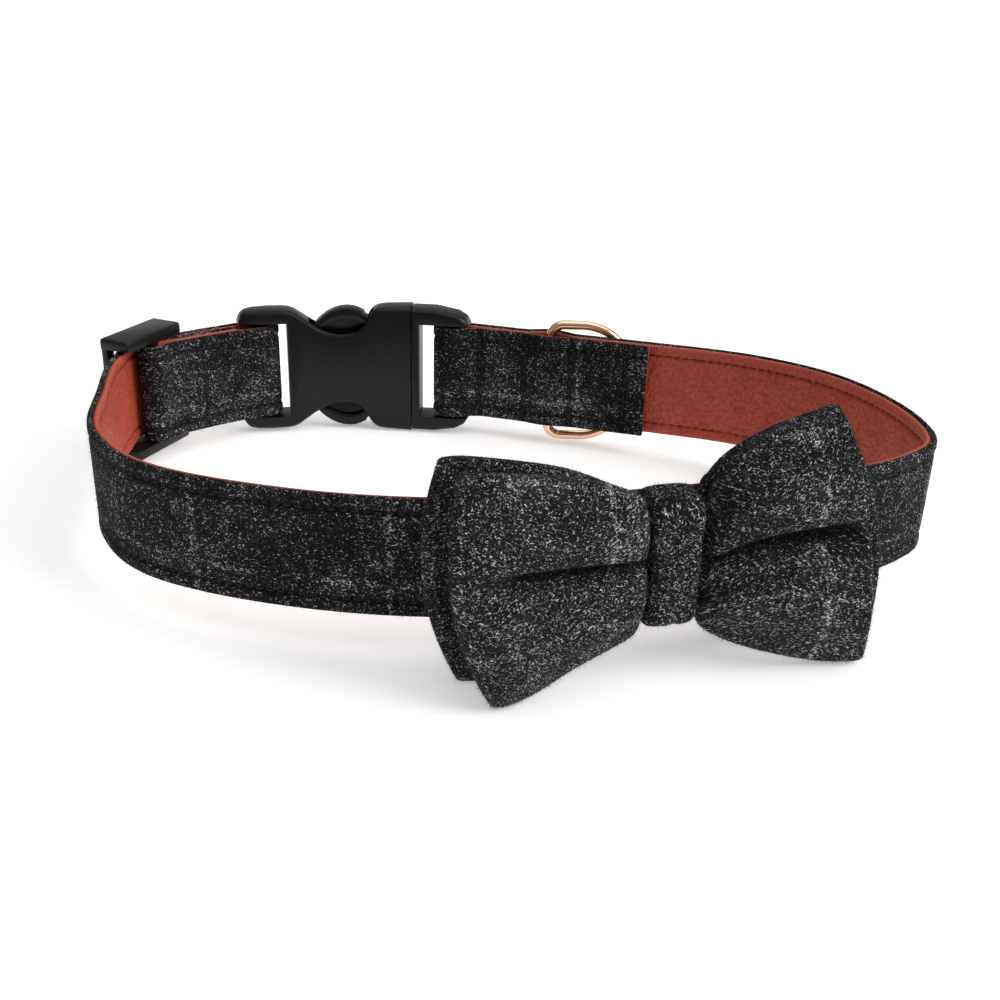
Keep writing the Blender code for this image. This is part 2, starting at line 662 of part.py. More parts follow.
def make_ring(route, material, parent):
    line = route.line
    inner = route.fold_back(RING_STATION)
    outer = route.main(RING_STATION)
    place = line.aside(RING_STATION, (inner + outer) / 2)
    along = line.tangent(RING_STATION)
    curve = bpy.data.curves.new("d_ring", "CURVE")
    curve.dimensions = "3D"
    curve.bevel_depth = RING_WIRE_RADIUS
    curve.bevel_resolution = 2
    curve.resolution_u = 1
    spline = curve.splines.new("POLY")
    outline = ring_outline()
    spline.points.add(len(outline) - 1)
    for point, (x, z) in zip(spline.points, outline):
        point.co = (x, 0.0, z, 1.0)
    spline.use_cyclic_u = True
    spline.use_smooth = True
    ring = add_object("d_ring", curve, material, parent)
    ring.location = (*place, STRAP_MIDDLE_Z - RING_DROP)
    ring.rotation_euler = (0, 0, math.atan2(along[1], along[0]) + RING_REST_ANGLE)
    return ring


def bow_sections(front):
    """The sections of one layer, worked out in metres."""
    found = []
    for row in spread_table(FRONT_LAYER if front else BACK_LAYER, SECTIONS_PER_ROW):
        top, rise, bottom, drop, bulge, apart, puff, pleat = row
        reach = BOW_REACH
        height = BOW_HALF_HEIGHT
        side = 1 if front else -1
        spread = FRONT_SPREAD_AT_END if front else BACK_SPREAD_AT_END
        middle = (LAYER_THICKNESS + LAYER_GAP) / 2 + spread * apart
        found.append({
            "top": (top * reach, rise * height),
            "bottom": (bottom * reach, -drop * height),
            "bulge": bulge * reach * (1 if top > 0 else -1),
            "middle": side * middle,
            "puff": FRONT_PUFF * puff if front else -BACK_PUFF * puff,
            "pleat": FRONT_PLEAT_DEPTH * pleat,
        })
    return found


def bow_layer(name, front, material, parent):
    """One padded sheet of the bow: front and back skins joined at a rounded rim."""
    vertices = []
    sections = bow_sections(front)
    across = np.sin(np.linspace(-math.pi / 2, math.pi / 2, POINTS_ACROSS))
    for number, section in enumerate(sections):
        from_end = min(number, len(sections) - 1 - number)
        end_share = END_THICKNESS_SHARE if from_end == 0 else 1.0
        front_skin, back_skin = [], []
        for v in across:
            share = (v + 1) / 2
            x = section["bottom"][0] * (1 - share) + section["top"][0] * share
            z = section["bottom"][1] * (1 - share) + section["top"][1] * share
            x += section["bulge"] * (1 - v * v)
            depth = section["middle"] + section["puff"] * (1 - v * v) ** 0.75
            depth -= section["pleat"] * math.exp(-((v / PLEAT_HALF_WIDTH) ** 2))
            rim = RIM_THICKNESS_SHARE + (1 - RIM_THICKNESS_SHARE) * (1 - abs(v) ** 6)
            half = LAYER_THICKNESS / 2 * end_share * rim
            front_skin.append((x, -(depth + half), z))
            back_skin.append((x, -(depth - half), z))
        vertices += front_skin + back_skin[::-1]
    around = 2 * POINTS_ACROSS
    faces = ring_faces(len(sections), around)[:-2]
    last = (len(sections) - 1) * around
    for base in (0, last):
        for j in range(POINTS_ACROSS - 1):
            faces.append((base + j, base + j + 1, base + around - 2 - j, base + around - 1 - j))
    mesh = mesh_from(name, vertices, faces, math.radians(60))
    return add_object(name, mesh, material, parent)


def band(name, outline, half_width, wall, crown, material, parent):
    """A flat band wrapped round an outline of (y, z) points, its width along x."""
    outline = np.array(outline)
    along = np.roll(outline, -1, axis=0) - np.roll(outline, 1, axis=0)
    along /= np.hypot(*along.T)[:, None]
    out = np.stack([along[:, 1], -along[:, 0]], axis=1)
    profile = ((-1.0, 0.25), (-0.82, 1.0), (0.0, 1.0), (0.82, 1.0), (1.0, 0.25), (0.96, 0.0), (-0.96, 0.0))
    vertices = []
    for (y, z), (oy, oz) in zip(outline, out):
        for x, height in profile:
            lift = wall * height + (crown if x == 0.0 else 0.0)
            vertices.append((x * half_width, y + oy * lift, z + oz * lift))
    around = len(profile)
    faces = []
    rings = len(outline)
    for i in range(rings):
        n = (i + 1) % rings
        for j in range(around):
            k = (j + 1) % around
            faces.append((i * around + j, i * around + k, n * around + k, n * around + j))
    return add_object(name, mesh_from(name, vertices, faces, math.radians(60)), material, parent)


def rounded_outline(low_y, high_y, low_z, high_z, corner, per_corner=5):
    """A rounded rectangle of (y, z) points, counter-clockwise seen from +x."""
    corner = min(corner, (high_y - low_y) / 2 * 0.98, (high_z - low_z) / 2 * 0.98)
    centres = ((high_y - corner, high_z - corner, 0.0), (low_y + corner, high_z - corner, 90.0),
               (low_y + corner, low_z + corner, 180.0), (high_y - corner, low_z + corner, 270.0))
    points = []
    for y, z, start in centres:
        for i in range(per_corner):
            angle = math.radians(start + 90.0 * i / (per_corner - 1))
            points.append((y + corner * math.cos(angle), z + corner * math.sin(angle)))
    return points


def make_bow(route, materials, parent):
    """The two layers, the knot and the elastic loops, hung in front of the strap."""
    line = route.line
    knot_half_depth = LAYER_THICKNESS + LAYER_GAP / 2 + KNOT_CLEARANCE
    strap_at = line.distance_at_x(BOW_X, True)
    to_strap = STACK / 2 + BOW_TO_STRAP_GAP + KNOT_WALL + KNOT_CROWN + knot_half_depth
    place = line.aside(strap_at, to_strap)
    bow = add_empty("bow", parent)
    bow.location = (*place, BOW_CENTRE_Z)
    bow.rotation_euler = (0, 0, BOW_YAW)
    bow_layer("bow_back", False, materials["tweed_bow_back"], bow)
    bow_layer("bow_front", True, materials["tweed_bow_front"], bow)
    inner = KNOT_HALF_HEIGHT - KNOT_WALL
    outline = rounded_outline(-knot_half_depth, knot_half_depth,
                              -inner - KNOT_DROP, inner - KNOT_DROP, KNOT_CORNER)
    band("bow_knot", outline, KNOT_WIDTH / 2, KNOT_WALL, KNOT_CROWN, materials["tweed_knot"], bow)
    return bow


def make_elastic_loops(route, bow, material, parent):
    line = route.line
    middle = line.distance_at_x(BOW_X, True)
    for name, side in (("bow_loop_left", 1), ("bow_loop_right", -1)):
        distance = middle + side * ELASTIC_FROM_KNOT
        place = line.at(distance)
        outward = line.outward(distance)
        behind = STACK / 2 + ELASTIC_CLEARANCE
        before = before_strap(place, outward, bow, side) - ELASTIC_THICKNESS - ELASTIC_CLEARANCE
        edge = STRAP_MIDDLE_Z + ELASTIC_CLEARANCE
        outline = rounded_outline(-before, behind, -edge, edge, ELASTIC_CORNER, 4)
        loop = band(name, outline, ELASTIC_WIDTH / 2, ELASTIC_THICKNESS, 0.0, material, parent)
        loop.location = (*place, STRAP_MIDDLE_Z)
        loop.rotation_euler = (0, 0, math.atan2(-outward[0], outward[1]) + math.pi)


def before_strap(place, outward, bow, side):
    """How far in front of the strap the back of the bow lies, measured outwards."""
    x = -side * ELASTIC_FROM_KNOT
    rows = spread_table(BACK_LAYER, SECTIONS_PER_ROW)
    apart, puff = (np.interp(x / BOW_REACH, rows[:, 0], rows[:, column]) for column in (5, 6))
    back = LAYER_THICKNESS + LAYER_GAP / 2 + BACK_SPREAD_AT_END * apart + BACK_PUFF * puff
    local = Vector((x, back, 0.0))
    point = Matrix.Rotation(bow.rotation_euler.z, 3, "Z") @ local + Vector(bow.location)
    offset = np.array([point.x, point.y]) - place
    return float(offset @ outward)


def world_points(items):
    bpy.context.view_layer.update()
    graph = bpy.context.evaluated_depsgraph_get()
    found = []
    for item in items:
        evaluated = item.evaluated_get(graph)
        mesh = evaluated.to_mesh()
        flat = np.empty(len(mesh.vertices) * 3)
        mesh.vertices.foreach_get("co", flat)
        matrix = np.array(evaluated.matrix_world)
        found.append(flat.reshape(-1, 3) @ matrix[:3, :3].T + matrix[:3, 3])
        evaluated.to_mesh_clear()
    return found


def stand_on_floor(collar):
    """Turns the collar so that it rests on both ends of the bow and on the buckle."""
    solids = [item for item in bpy.data.objects
              if item.type in ("MESH", "CURVE") and not item.hide_render]
    points = dict(zip([item.name for item in solids], world_points(solids)))
    bow_points = np.vstack([points["bow_front"], points["bow_back"]])
    middle = np.mean(bow_points[:, 0])
    groups = (bow_points[bow_points[:, 0] < middle], bow_points[bow_points[:, 0] > middle],
              np.vstack([points["buckle_female"], points["buckle_male"]]))
    turn = Matrix.Identity(3)
    for _ in range(8):
        turned = [group @ np.array(turn).T for group in groups]
        feet = [group[np.argmin(there[:, 2])] for group, there in zip(groups, turned)]
        normal = Vector(np.cross(feet[1] - feet[0], feet[2] - feet[0])).normalized()
        turn = normal.rotation_difference(Vector((0, 0, 1))).to_matrix()
    every = np.vstack(list(points.values())) @ np.array(turn).T
    low, high = every.min(axis=0), every.max(axis=0)
    shift = Vector((-(low[0] + high[0]) / 2, -(low[1] + high[1]) / 2, -low[2]))
    collar.matrix_world = Matrix.Translation(shift) @ turn.to_4x4()


def main():
    clear_scene()
    tweed = (0.030, 0.030, 0.034)
    materials = {
        "tweed_strap": make_material("tweed_strap", tweed, 0.95, 0.0),
        "tweed_bow_back": make_material("tweed_bow_back", tweed, 0.95, 0.0),
        "tweed_bow_front": make_material("tweed_bow_front", tweed, 0.95, 0.0),
        "tweed_knot": make_material("tweed_knot", tweed, 0.95, 0.0),
        "leather_lining": make_material("leather_lining", (0.33, 0.075, 0.040), 0.55, 0.0),
        "plastic_female": make_material("plastic_female", (0.012, 0.012, 0.013), 0.42, 0.0),
        "plastic_male": make_material("plastic_male", (0.012, 0.012, 0.013), 0.42, 0.0),
        "plastic_slide": make_material("plastic_slide", (0.015, 0.015, 0.016), 0.45, 0.0),
        "gold_ring": make_material("gold_ring", (0.86, 0.62, 0.42), 0.18, 1.0),
        "elastic": make_material("elastic", (0.012, 0.012, 0.013), 0.80, 0.0),
    }
    collar = add_empty("collar")
    route = StrapRoute(MiddleLine())
    path = route.points()
    half_gap = PLY_GAP / 2
    tweed_mesh = strip("strap_tweed", path, half_gap, half_gap + TWEED_THICKNESS, True)
    lining_mesh = strip("strap_lining", path, -half_gap - LINING_THICKNESS, -half_gap, False)
    add_object("strap_tweed", tweed_mesh, materials["tweed_strap"], collar)
    add_object("strap_lining", lining_mesh, materials["leather_lining"], collar)
    make_buckle_female(materials["plastic_female"], collar)
    make_buckle_male(materials["plastic_male"], collar)
    make_slide(route, materials["plastic_slide"], collar)
    make_ring(route, materials["gold_ring"], collar)
    bow = make_bow(route, materials, collar)
    make_elastic_loops(route, bow, materials["elastic"], collar)
    stand_on_floor(collar)


main()
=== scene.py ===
"""The finished look of a pet bow tie collar: a tweed and leather strap, black moulded hardware, a
gold ring and a bow of two pinched tweed layers, on a pale floor in soft light.

Lengths are metres. Each class holds one sub-assembly's sizes, builds its meshes and dresses them.
Shapes are worked out in the collar's own frame (+X right, -Y front, Z across the strap) and then
moved by COLLAR_PLACE to where the collar stands on the floor.
"""

import logging
import math
from dataclasses import dataclass, field
from enum import Enum
from typing import Sequence

import bmesh
import bpy
import numpy as np
from mathutils import Matrix, Vector


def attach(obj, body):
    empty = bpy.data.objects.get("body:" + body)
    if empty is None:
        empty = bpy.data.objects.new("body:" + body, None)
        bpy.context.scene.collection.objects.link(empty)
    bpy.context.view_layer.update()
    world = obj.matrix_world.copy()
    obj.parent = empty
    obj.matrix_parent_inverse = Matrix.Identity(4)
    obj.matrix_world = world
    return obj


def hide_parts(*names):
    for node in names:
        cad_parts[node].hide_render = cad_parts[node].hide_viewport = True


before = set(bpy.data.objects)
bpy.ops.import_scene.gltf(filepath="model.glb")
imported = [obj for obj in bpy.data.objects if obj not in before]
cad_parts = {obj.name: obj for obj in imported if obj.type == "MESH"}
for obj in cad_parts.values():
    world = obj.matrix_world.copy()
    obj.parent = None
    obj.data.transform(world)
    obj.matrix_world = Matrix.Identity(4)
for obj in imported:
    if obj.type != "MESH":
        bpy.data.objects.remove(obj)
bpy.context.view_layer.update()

LOG = logging.getLogger("bow tie collar")

COLLAR_PLACE = Matrix((
    (0.999978, 0.000107, -0.006566, 0.002685),
    (0.000107, 0.999465, 0.032702, 0.005926),
    (0.006566, -0.032702, 0.999444, 0.007040),
    (0.0, 0.0, 0.0, 1.0),
))

LOOP_PLAN = (
    # right, back
    (0.055, 0.957),
    (0.400, 0.808),
    (0.667, 0.668),
    (0.857, 0.438),
    (0.964, 0.110),
    (0.986, -0.230),
    (0.913, -0.415),
    (0.744, -0.582),
    (0.378, -0.768),
    (0.000, -0.914),
    (-0.378, -0.898),
    (-0.728, -0.721),
    (-0.902, -0.411),
    (-0.967, 0.000),
    (-1.007, 0.372),
    (-0.970, 0.561),
    (-0.908, 0.732),
)

# Shares of the bow's reach and half height, one row for each station from left to right.
FRONT_LAYER = (
    # top out, rise, bottom out, drop, bulge, apart, puff, pleat
    (-1.010, 0.830, -0.850, 1.010, 0.115, 1.00, 0.30, 0.04),
    (-0.920, 0.830, -0.770, 1.020, 0.090, 0.92, 0.70, 0.10),
    (-0.720, 0.770, -0.640, 0.970, 0.040, 0.72, 1.00, 0.70),
    (-0.480, 0.680, -0.460, 0.845, 0.000, 0.46, 1.00, 1.05),
    (-0.280, 0.565, -0.270, 0.725, 0.000, 0.28, 0.78, 1.00),
    (-0.160, 0.450, -0.160, 0.640, 0.000, 0.12, 0.40, 0.60),
    (-0.138, 0.320, -0.138, 0.480, 0.000, 0.00, 0.00, 0.00),
    (0.000, 0.310, 0.000, 0.470, 0.000, 0.00, 0.00, 0.00),
    (0.138, 0.320, 0.138, 0.480, 0.000, 0.00, 0.00, 0.00),
    (0.160, 0.470, 0.160, 0.640, 0.000, 0.12, 0.40, 0.60),
    (0.250, 0.740, 0.270, 0.760, 0.000, 0.28, 0.78, 1.00),
    (0.400, 0.920, 0.470, 0.890, 0.000, 0.45, 1.00, 1.05),
    (0.550, 1.000, 0.720, 0.990, 0.015, 0.70, 1.00, 0.85),
    (0.650, 1.035, 0.900, 1.010, 0.030, 0.90, 0.75, 0.35),
    (0.690, 1.040, 0.960, 0.985, 0.025, 1.00, 0.40, 0.08),
)
BACK_LAYER = (
    # top out, rise, bottom out, drop, bulge, apart, puff, pleat
    (-1.040, 0.790, -0.950, 1.020, 0.115, 1.00, 0.30, 0.00),
    (-0.940, 0.795, -0.850, 1.030, 0.090, 0.92, 0.70, 0.00),
    (-0.720, 0.735, -0.680, 0.970, 0.040, 0.72, 1.00, 0.00),
    (-0.480, 0.640, -0.460, 0.820, 0.000, 0.46, 1.00, 0.00),
    (-0.280, 0.500, -0.270, 0.660, 0.000, 0.28, 0.72, 0.00),
    (-0.160, 0.390, -0.160, 0.540, 0.000, 0.12, 0.30, 0.00),
    (-0.138, 0.320, -0.138, 0.480, 0.000, 0.00, 0.00, 0.00),
    (0.000, 0.310, 0.000, 0.470, 0.000, 0.00, 0.00, 0.00),
    (0.138, 0.320, 0.138, 0.480, 0.000, 0.00, 0.00, 0.00),
    (0.160, 0.440, 0.160, 0.540, 0.000, 0.12, 0.30, 0.00),
    (0.260, 0.650, 0.270, 0.690, 0.000, 0.28, 0.72, 0.00),
    (0.430, 0.810, 0.500, 0.840, 0.000, 0.45, 1.00, 0.00),
    (0.620, 0.920, 0.800, 0.970, 0.040, 0.70, 1.00, 0.00),
    (0.750, 0.980, 1.050, 1.020, 0.110, 0.90, 0.75, 0.00),
    (0.790, 0.980, 1.130, 1.020, 0.130, 1.00, 0.40, 0.00),
)


class Body(Enum):
    """The rigid bodies that pieces ride on."""

    COLLAR = "collar"
    RING = "ring"


class Run(Enum):
    """The stretches of the strap, in order from the hem of the fold-back to the end of the tail."""

    FOLD = 0
    MALE_TURN = 1
    MAIN = 2
    FEMALE_TURN = 3
    RETURN = 4
    SLIDE_TURN = 5
    TAIL = 6


class Ply(Enum):
    """The two plies of the strap, by the side of the route that they lie on."""

    TWEED = 1
    LINING = -1


# Helpers


def hump(distance: float, centre: float, reach: float) -> float:
    """A smooth rise from 0 to 1 and back.

    Args:
        distance: where it is read.
        centre: where it is 1.
        reach: how far it lasts on each side.

    Returns:
        The height between 0 and 1.
    """
    away = abs(distance - centre) / reach
    return math.cos(away * math.pi / 2) ** 2 if away < 1 else 0.0


def smooth_curve(points: Sequence, per_span: int) -> np.ndarray:
    """A Catmull-Rom curve through the given points.

    Args:
        points: rows of numbers.
        per_span: how many rows come out for each span between two given ones.

    Returns:
        The rows on the curve.
    """
    rows = np.asarray(points, float)
    ends = np.vstack([2 * rows[0] - rows[1], rows, 2 * rows[-1] - rows[-2]])
    found = []
    for i in range(len(rows) - 1):
        a, b, c, d = ends[i : i + 4]
        for t in np.arange(per_span) / per_span:
            found.append(0.5 * (2 * b + (c - a) * t + (2 * a - 5 * b + 4 * c - d) * t**2
                                + (3 * b - a - 3 * c + d) * t**3))
    found.append(rows[-1])
    return np.array(found)


def grid_mesh(name: str, rows: np.ndarray, uv: np.ndarray, marks: dict[str, np.ndarray],
              capped: bool = True, ring: bool = False) -> bpy.types.Object:
    """A closed skin from rings of points, with a UV map in metres.

    Args:
        name: the object's name.
        rows: points, as (rings, points round, 3), already in the collar's frame.
        uv: the map, as (rings, points round + 1, 2), so that the seam isn't smeared.
        marks: values stored on the points, each as (rings, points round).
        capped: whether the first and last ring are closed with a face.
        ring: whether the last ring joins the first.

    Returns:
        The linked object, smooth shaded.
    """
    count, around = rows.shape[:2]
    faces, maps = [], []
    for i in range(count if ring else count - 1):
        n = (i + 1) % count
        for j in range(around):
            k = (j + 1) % around
            faces.append((i * around + j, i * around + k, n * around + k, n * around + j))
            m = i + 1 if (ring and len(uv) > count) else n
            maps += [uv[i, j], uv[i, j + 1], uv[m, j + 1], uv[m, j]]
    if capped:
        faces.append(tuple(reversed(range(around))))
        maps += [uv[0, j] for j in reversed(range(around))]
        faces.append(tuple((count - 1) * around + j for j in range(around)))
        maps += [uv[-1, j] for j in range(around)]
    mesh = bpy.data.meshes.new(name)
    flat = rows.reshape(-1, 3)
    place = np.array(COLLAR_PLACE)
    mesh.from_pydata((flat @ place[:3, :3].T + place[:3, 3]).tolist(), [], faces)
    layer = mesh.uv_layers.new(name="weave")
    layer.data.foreach_set("uv", np.asarray(maps, np.float32).ravel())
    for label, values in marks.items():
        attribute = mesh.attributes.new(label, "FLOAT", "POINT")
        attribute.data.foreach_set("value", np.asarray(values, np.float32).ravel())
    outwards(mesh)
    mesh.shade_smooth()
    return linked(name, mesh)


def linked(name: str, data: bpy.types.ID) -> bpy.types.Object:
    """A new object in the scene that shows the data."""
    item = bpy.data.objects.new(name, data)
    bpy.context.collection.objects.link(item)
    return item


def outwards(mesh: bpy.types.Mesh) -> None:
    """Turns a closed mesh's faces outwards.

    Args:
        mesh: the mesh to turn.
    """
    work = bmesh.new()
    work.from_mesh(mesh)
    bmesh.ops.recalc_face_normals(work, faces=work.faces)
    work.to_mesh(mesh)
    work.free()


def show(piece: bpy.types.Object, material: bpy.types.Material, body: Body, slot: str,
         *nodes: str) -> bpy.types.Object:
    """Dresses a piece and hands it to its body.

    Args:
        piece: the piece.
        material: its only material.
        body: what it moves with.
        slot: a slot name; not used.
        nodes: the CAD nodes that it stands for.

    Returns:
        The same piece.
    """
    piece.data.materials.clear()
    piece.data.materials.append(material)
    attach(piece, body.value)
    if nodes:
        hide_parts(*nodes)
    LOG.info("%s: %d faces", piece.name, len(piece.data.polygons))
    return piece


# Node building


class Graph:
    """A short way of adding nodes to a tree."""

    def __init__(self, tree: bpy.types.NodeTree) -> None:
        """Wraps the tree."""
        self.tree = tree

    def add(self, kind: str, inputs: dict | None = None, **settings) -> bpy.types.Node:
        """One node, with its inputs set or linked.

        Args:
            kind: the node's type name.
            inputs: input name or number to a value or to a socket that feeds it.
            settings: properties of the node.

        Returns:
            The node.
        """
        node = self.tree.nodes.new(kind)
        for key, value in settings.items():
            setattr(node, key, value)
        for key, value in (inputs or {}).items():
            self.feed(node.inputs[key], value)
        return node

    def feed(self, socket: bpy.types.NodeSocket, value) -> None:
        """Sets or links one input."""
        if isinstance(value, bpy.types.NodeSocket):
            self.tree.links.new(value, socket)
        else:
            socket.default_value = value

    def math(self, operation: str, a, b=0.0, c=0.0) -> bpy.types.NodeSocket:
        """A Math node's result."""
        return self.add("ShaderNodeMath", {0: a, 1: b, 2: c}, operation=operation).outputs[0]

    def ramp(self, value, low, high, to_low=0.0, to_high=1.0) -> bpy.types.NodeSocket:
        """A smooth step of the value between two limits."""
        node = self.add("ShaderNodeMapRange", {0: value, 1: low, 2: high, 3: to_low, 4: to_high},
                        interpolation_type="SMOOTHSTEP")
        return node.outputs[0]

    def vector(self, x=0.0, y=0.0, z=0.0) -> bpy.types.NodeSocket:
        """A vector made of three values."""
        return self.add("ShaderNodeCombineXYZ", {0: x, 1: y, 2: z}).outputs[0]

    def noise(self, vector, scale, detail=2.0, roughness=0.5) -> bpy.types.NodeSocket:
        """The value of a noise texture."""
        node = self.add("ShaderNodeTexNoise", {"Vector": vector, "Scale": scale, "Detail": detail,
                                               "Roughness": roughness})
        return node.outputs[0]

    def mark(self, name: str) -> bpy.types.NodeSocket:
        """A value stored on the mesh's points."""
        return self.add("ShaderNodeAttribute", attribute_name=name).outputs["Fac"]

    def scaled(self, vector, scale) -> bpy.types.NodeSocket:
        """A vector times a number."""
        return self.add("ShaderNodeVectorMath", {0: vector, "Scale": scale}, operation="SCALE").outputs[0]

    def sum(self, a, b) -> bpy.types.NodeSocket:
        """The sum of two vectors."""
        return self.add("ShaderNodeVectorMath", {0: a, 1: b}, operation="ADD").outputs[0]

    def relief(self, shader: bpy.types.Node, height, strength: float, distance: float) -> None:
        """Gives a shader fine relief.

        Args:
            shader: the shader whose normal it bends.
            height: the height map.
            strength: how much of it shows.
            distance: how high it stands, in metres.
        """
        values = {"Strength": strength, "Distance": distance, "Height": height}
        self.feed(shader.inputs["Normal"], self.add("ShaderNodeBump", values).outputs[0])

    def blend(self, share, a, b) -> bpy.types.NodeSocket:
        """A mix of two colours."""
        node = self.add("ShaderNodeMix", data_type="RGBA")
        self.feed(node.inputs[0], share)
        self.feed(node.inputs[6], a)
        self.feed(node.inputs[7], b)
        return node.outputs[2]


def new_group(name: str, kind: str, inputs: Sequence[tuple], outputs: Sequence[tuple]) -> Graph:
    """A node group with named sockets.

    Args:
        name: the group's name.
        kind: ShaderNodeTree or GeometryNodeTree.
        inputs: name, socket type and default of each input.
        outputs: name and socket type of each output.

    Returns:
        The graph that fills the group.
    """
    tree = bpy.data.node_groups.new(name, kind)
    for label, socket, default in inputs:
        made = tree.interface.new_socket(name=label, in_out="INPUT", socket_type=socket)
        if default is not None:
            made.default_value = default
    for label, socket in outputs:
        tree.interface.new_socket(name=label, in_out="OUTPUT", socket_type=socket)
    return Graph(tree)


FLOAT, VECTOR = "NodeSocketFloat", "NodeSocketVector"
GEOMETRY, MATERIAL, WHOLE = "NodeSocketGeometry", "NodeSocketMaterial", "NodeSocketInt"


def weave_group() -> bpy.types.NodeTree:
    """The tweed: dark wool with short pale dashes that lie three ways, thicker in blotches and pane lines.

    Returns:
        A shader group that reads a map in metres and puts out the dashes, the fine tone and the height.
    """
    graph = new_group(
        "flecked tweed", "ShaderNodeTree",
        [("Map", VECTOR, None), ("Fleck", FLOAT, 0.00060), ("Thread", FLOAT, 0.00025),
         ("Amount", FLOAT, 0.5), ("Pane", FLOAT, 0.038), ("Cross", FLOAT, 0.0068), ("Shift", FLOAT, 0.0)],
        [("Slub", FLOAT), ("Tone", FLOAT), ("Height", FLOAT)])
    given = graph.add("NodeGroupInput").outputs
    parts = graph.add("ShaderNodeSeparateXYZ", {0: given["Map"]}).outputs
    u, v = graph.math("ADD", parts[0], given["Shift"]), parts[1]
    place = graph.vector(u, v, given["Shift"])
    blotch = graph.math("MULTIPLY_ADD", graph.noise(place, 70.0, 1.0), 0.5,
                        graph.math("MULTIPLY", graph.noise(place, 330.0, 2.0, 0.5), 0.5))
    patch = graph.noise(place, 900.0, 2.0, 0.6)
    lines = []
    for number, (spacing, far) in enumerate(((given["Pane"], u), (0.0, v))):
        if number:
            away = graph.math("ABSOLUTE", graph.math("SUBTRACT", far, given["Cross"]))
        else:
            half = graph.math("MULTIPLY", spacing, 0.5)
            away = graph.math("PINGPONG", graph.math("ADD", far, 4.0), half)
        lines.append(graph.ramp(away, 0.0011, 0.0002))
    broken = graph.ramp(graph.noise(place, 300.0, 1.0), 0.40, 0.60, 0.25, 1.0)
    line = graph.math("MAXIMUM", lines[0], graph.math("MULTIPLY", lines[1], 0.8))
    line = graph.math("MULTIPLY", line, broken)
    dashes = None
    ways = ((38.0, 1.0, 1.0), (-8.0, 0.85, 1.15), (-58.0, 0.7, 0.9))
    for number, (angle, share, stretch) in enumerate(ways):
        c, t = math.cos(math.radians(angle)), math.sin(math.radians(angle))
        ahead = graph.math("MULTIPLY_ADD", u, c, graph.math("MULTIPLY", v, t))
        across = graph.math("MULTIPLY_ADD", v, c, graph.math("MULTIPLY", u, -t))
        ahead = graph.math("DIVIDE", ahead, graph.math("MULTIPLY", given["Fleck"], stretch))
        across = graph.math("DIVIDE", across, given["Thread"])
        value = graph.noise(graph.vector(ahead, across, 3.0 + 7.0 * number), 1.0, 0.6, 0.5)
        lift = graph.math("MULTIPLY_ADD", graph.math("SUBTRACT", blotch, 0.5), 0.22, value)
        lift = graph.math("MULTIPLY_ADD", graph.math("SUBTRACT", patch, 0.5), 0.12, lift)
        lift = graph.math("MULTIPLY_ADD", line, 0.085, lift)
        level = graph.math("MULTIPLY_ADD", given["Amount"], -0.20, 0.700)
        dash = graph.ramp(lift, level, graph.math("ADD", level, 0.13), 0.0, share)
        dashes = dash if dashes is None else graph.math("MAXIMUM", dashes, dash)
    hair = graph.noise(place, 7200.0, 2.0, 0.7)
    dim = graph.noise(place, 1500.0, 1.0)
    slub = graph.math("MULTIPLY", dashes, graph.ramp(dim, 0.36, 0.64, 0.12, 1.0))
    tone = graph.math("MULTIPLY_ADD", hair, 0.7, graph.math("MULTIPLY", blotch, 0.3))
    height = graph.math("MULTIPLY_ADD", dashes, 0.65, graph.math("MULTIPLY", hair, 0.6))
    height = graph.math("MULTIPLY_ADD", dim, 0.5, height)
    graph.add("NodeGroupOutput", {"Slub": slub, "Tone": tone, "Height": height})
    return graph.tree


def grain_group() -> bpy.types.NodeTree:
    """Pebbled leather grain: rounded cells with soft valleys between them.

    Returns:
        A shader group that puts out the valleys, the wear and the height.
    """
    graph = new_group(
        "pebble grain", "ShaderNodeTree",
        [("Map", VECTOR, None), ("Cell", FLOAT, 0.0011), ("Depth", FLOAT, 1.0)],
        [("Crease", FLOAT), ("Wear", FLOAT), ("Height", FLOAT)])
    given = graph.add("NodeGroupInput").outputs
    size = graph.math("DIVIDE", 1.0, given["Cell"])
    drift = graph.add("ShaderNodeTexNoise", {"Vector": given["Map"], "Scale": 900.0, "Detail": 2.0})
    spot = graph.sum(given["Map"], graph.scaled(drift.outputs["Color"], 0.0006))
    cell = graph.add("ShaderNodeTexVoronoi", {"Vector": spot, "Scale": size, "Randomness": 0.85,
                                              "Smoothness": 0.6}, feature="SMOOTH_F1").outputs["Distance"]
    crease = graph.ramp(cell, 0.34, 0.74)
    fine = graph.noise(spot, 2600.0, 2.0, 0.6)
    pore = graph.noise(spot, 9000.0, 2.0, 0.6)
    height = graph.math("SUBTRACT", 1.0, crease)
    height = graph.math("MULTIPLY_ADD", fine, 0.45, height)
    height = graph.math("MULTIPLY", graph.math("MULTIPLY_ADD", pore, 0.12, height), given["Depth"])
    wear = graph.noise(given["Map"], 160.0, 3.0, 0.6)
    graph.add("NodeGroupOutput", {"Crease": crease, "Wear": wear, "Height": height})
    return graph.tree


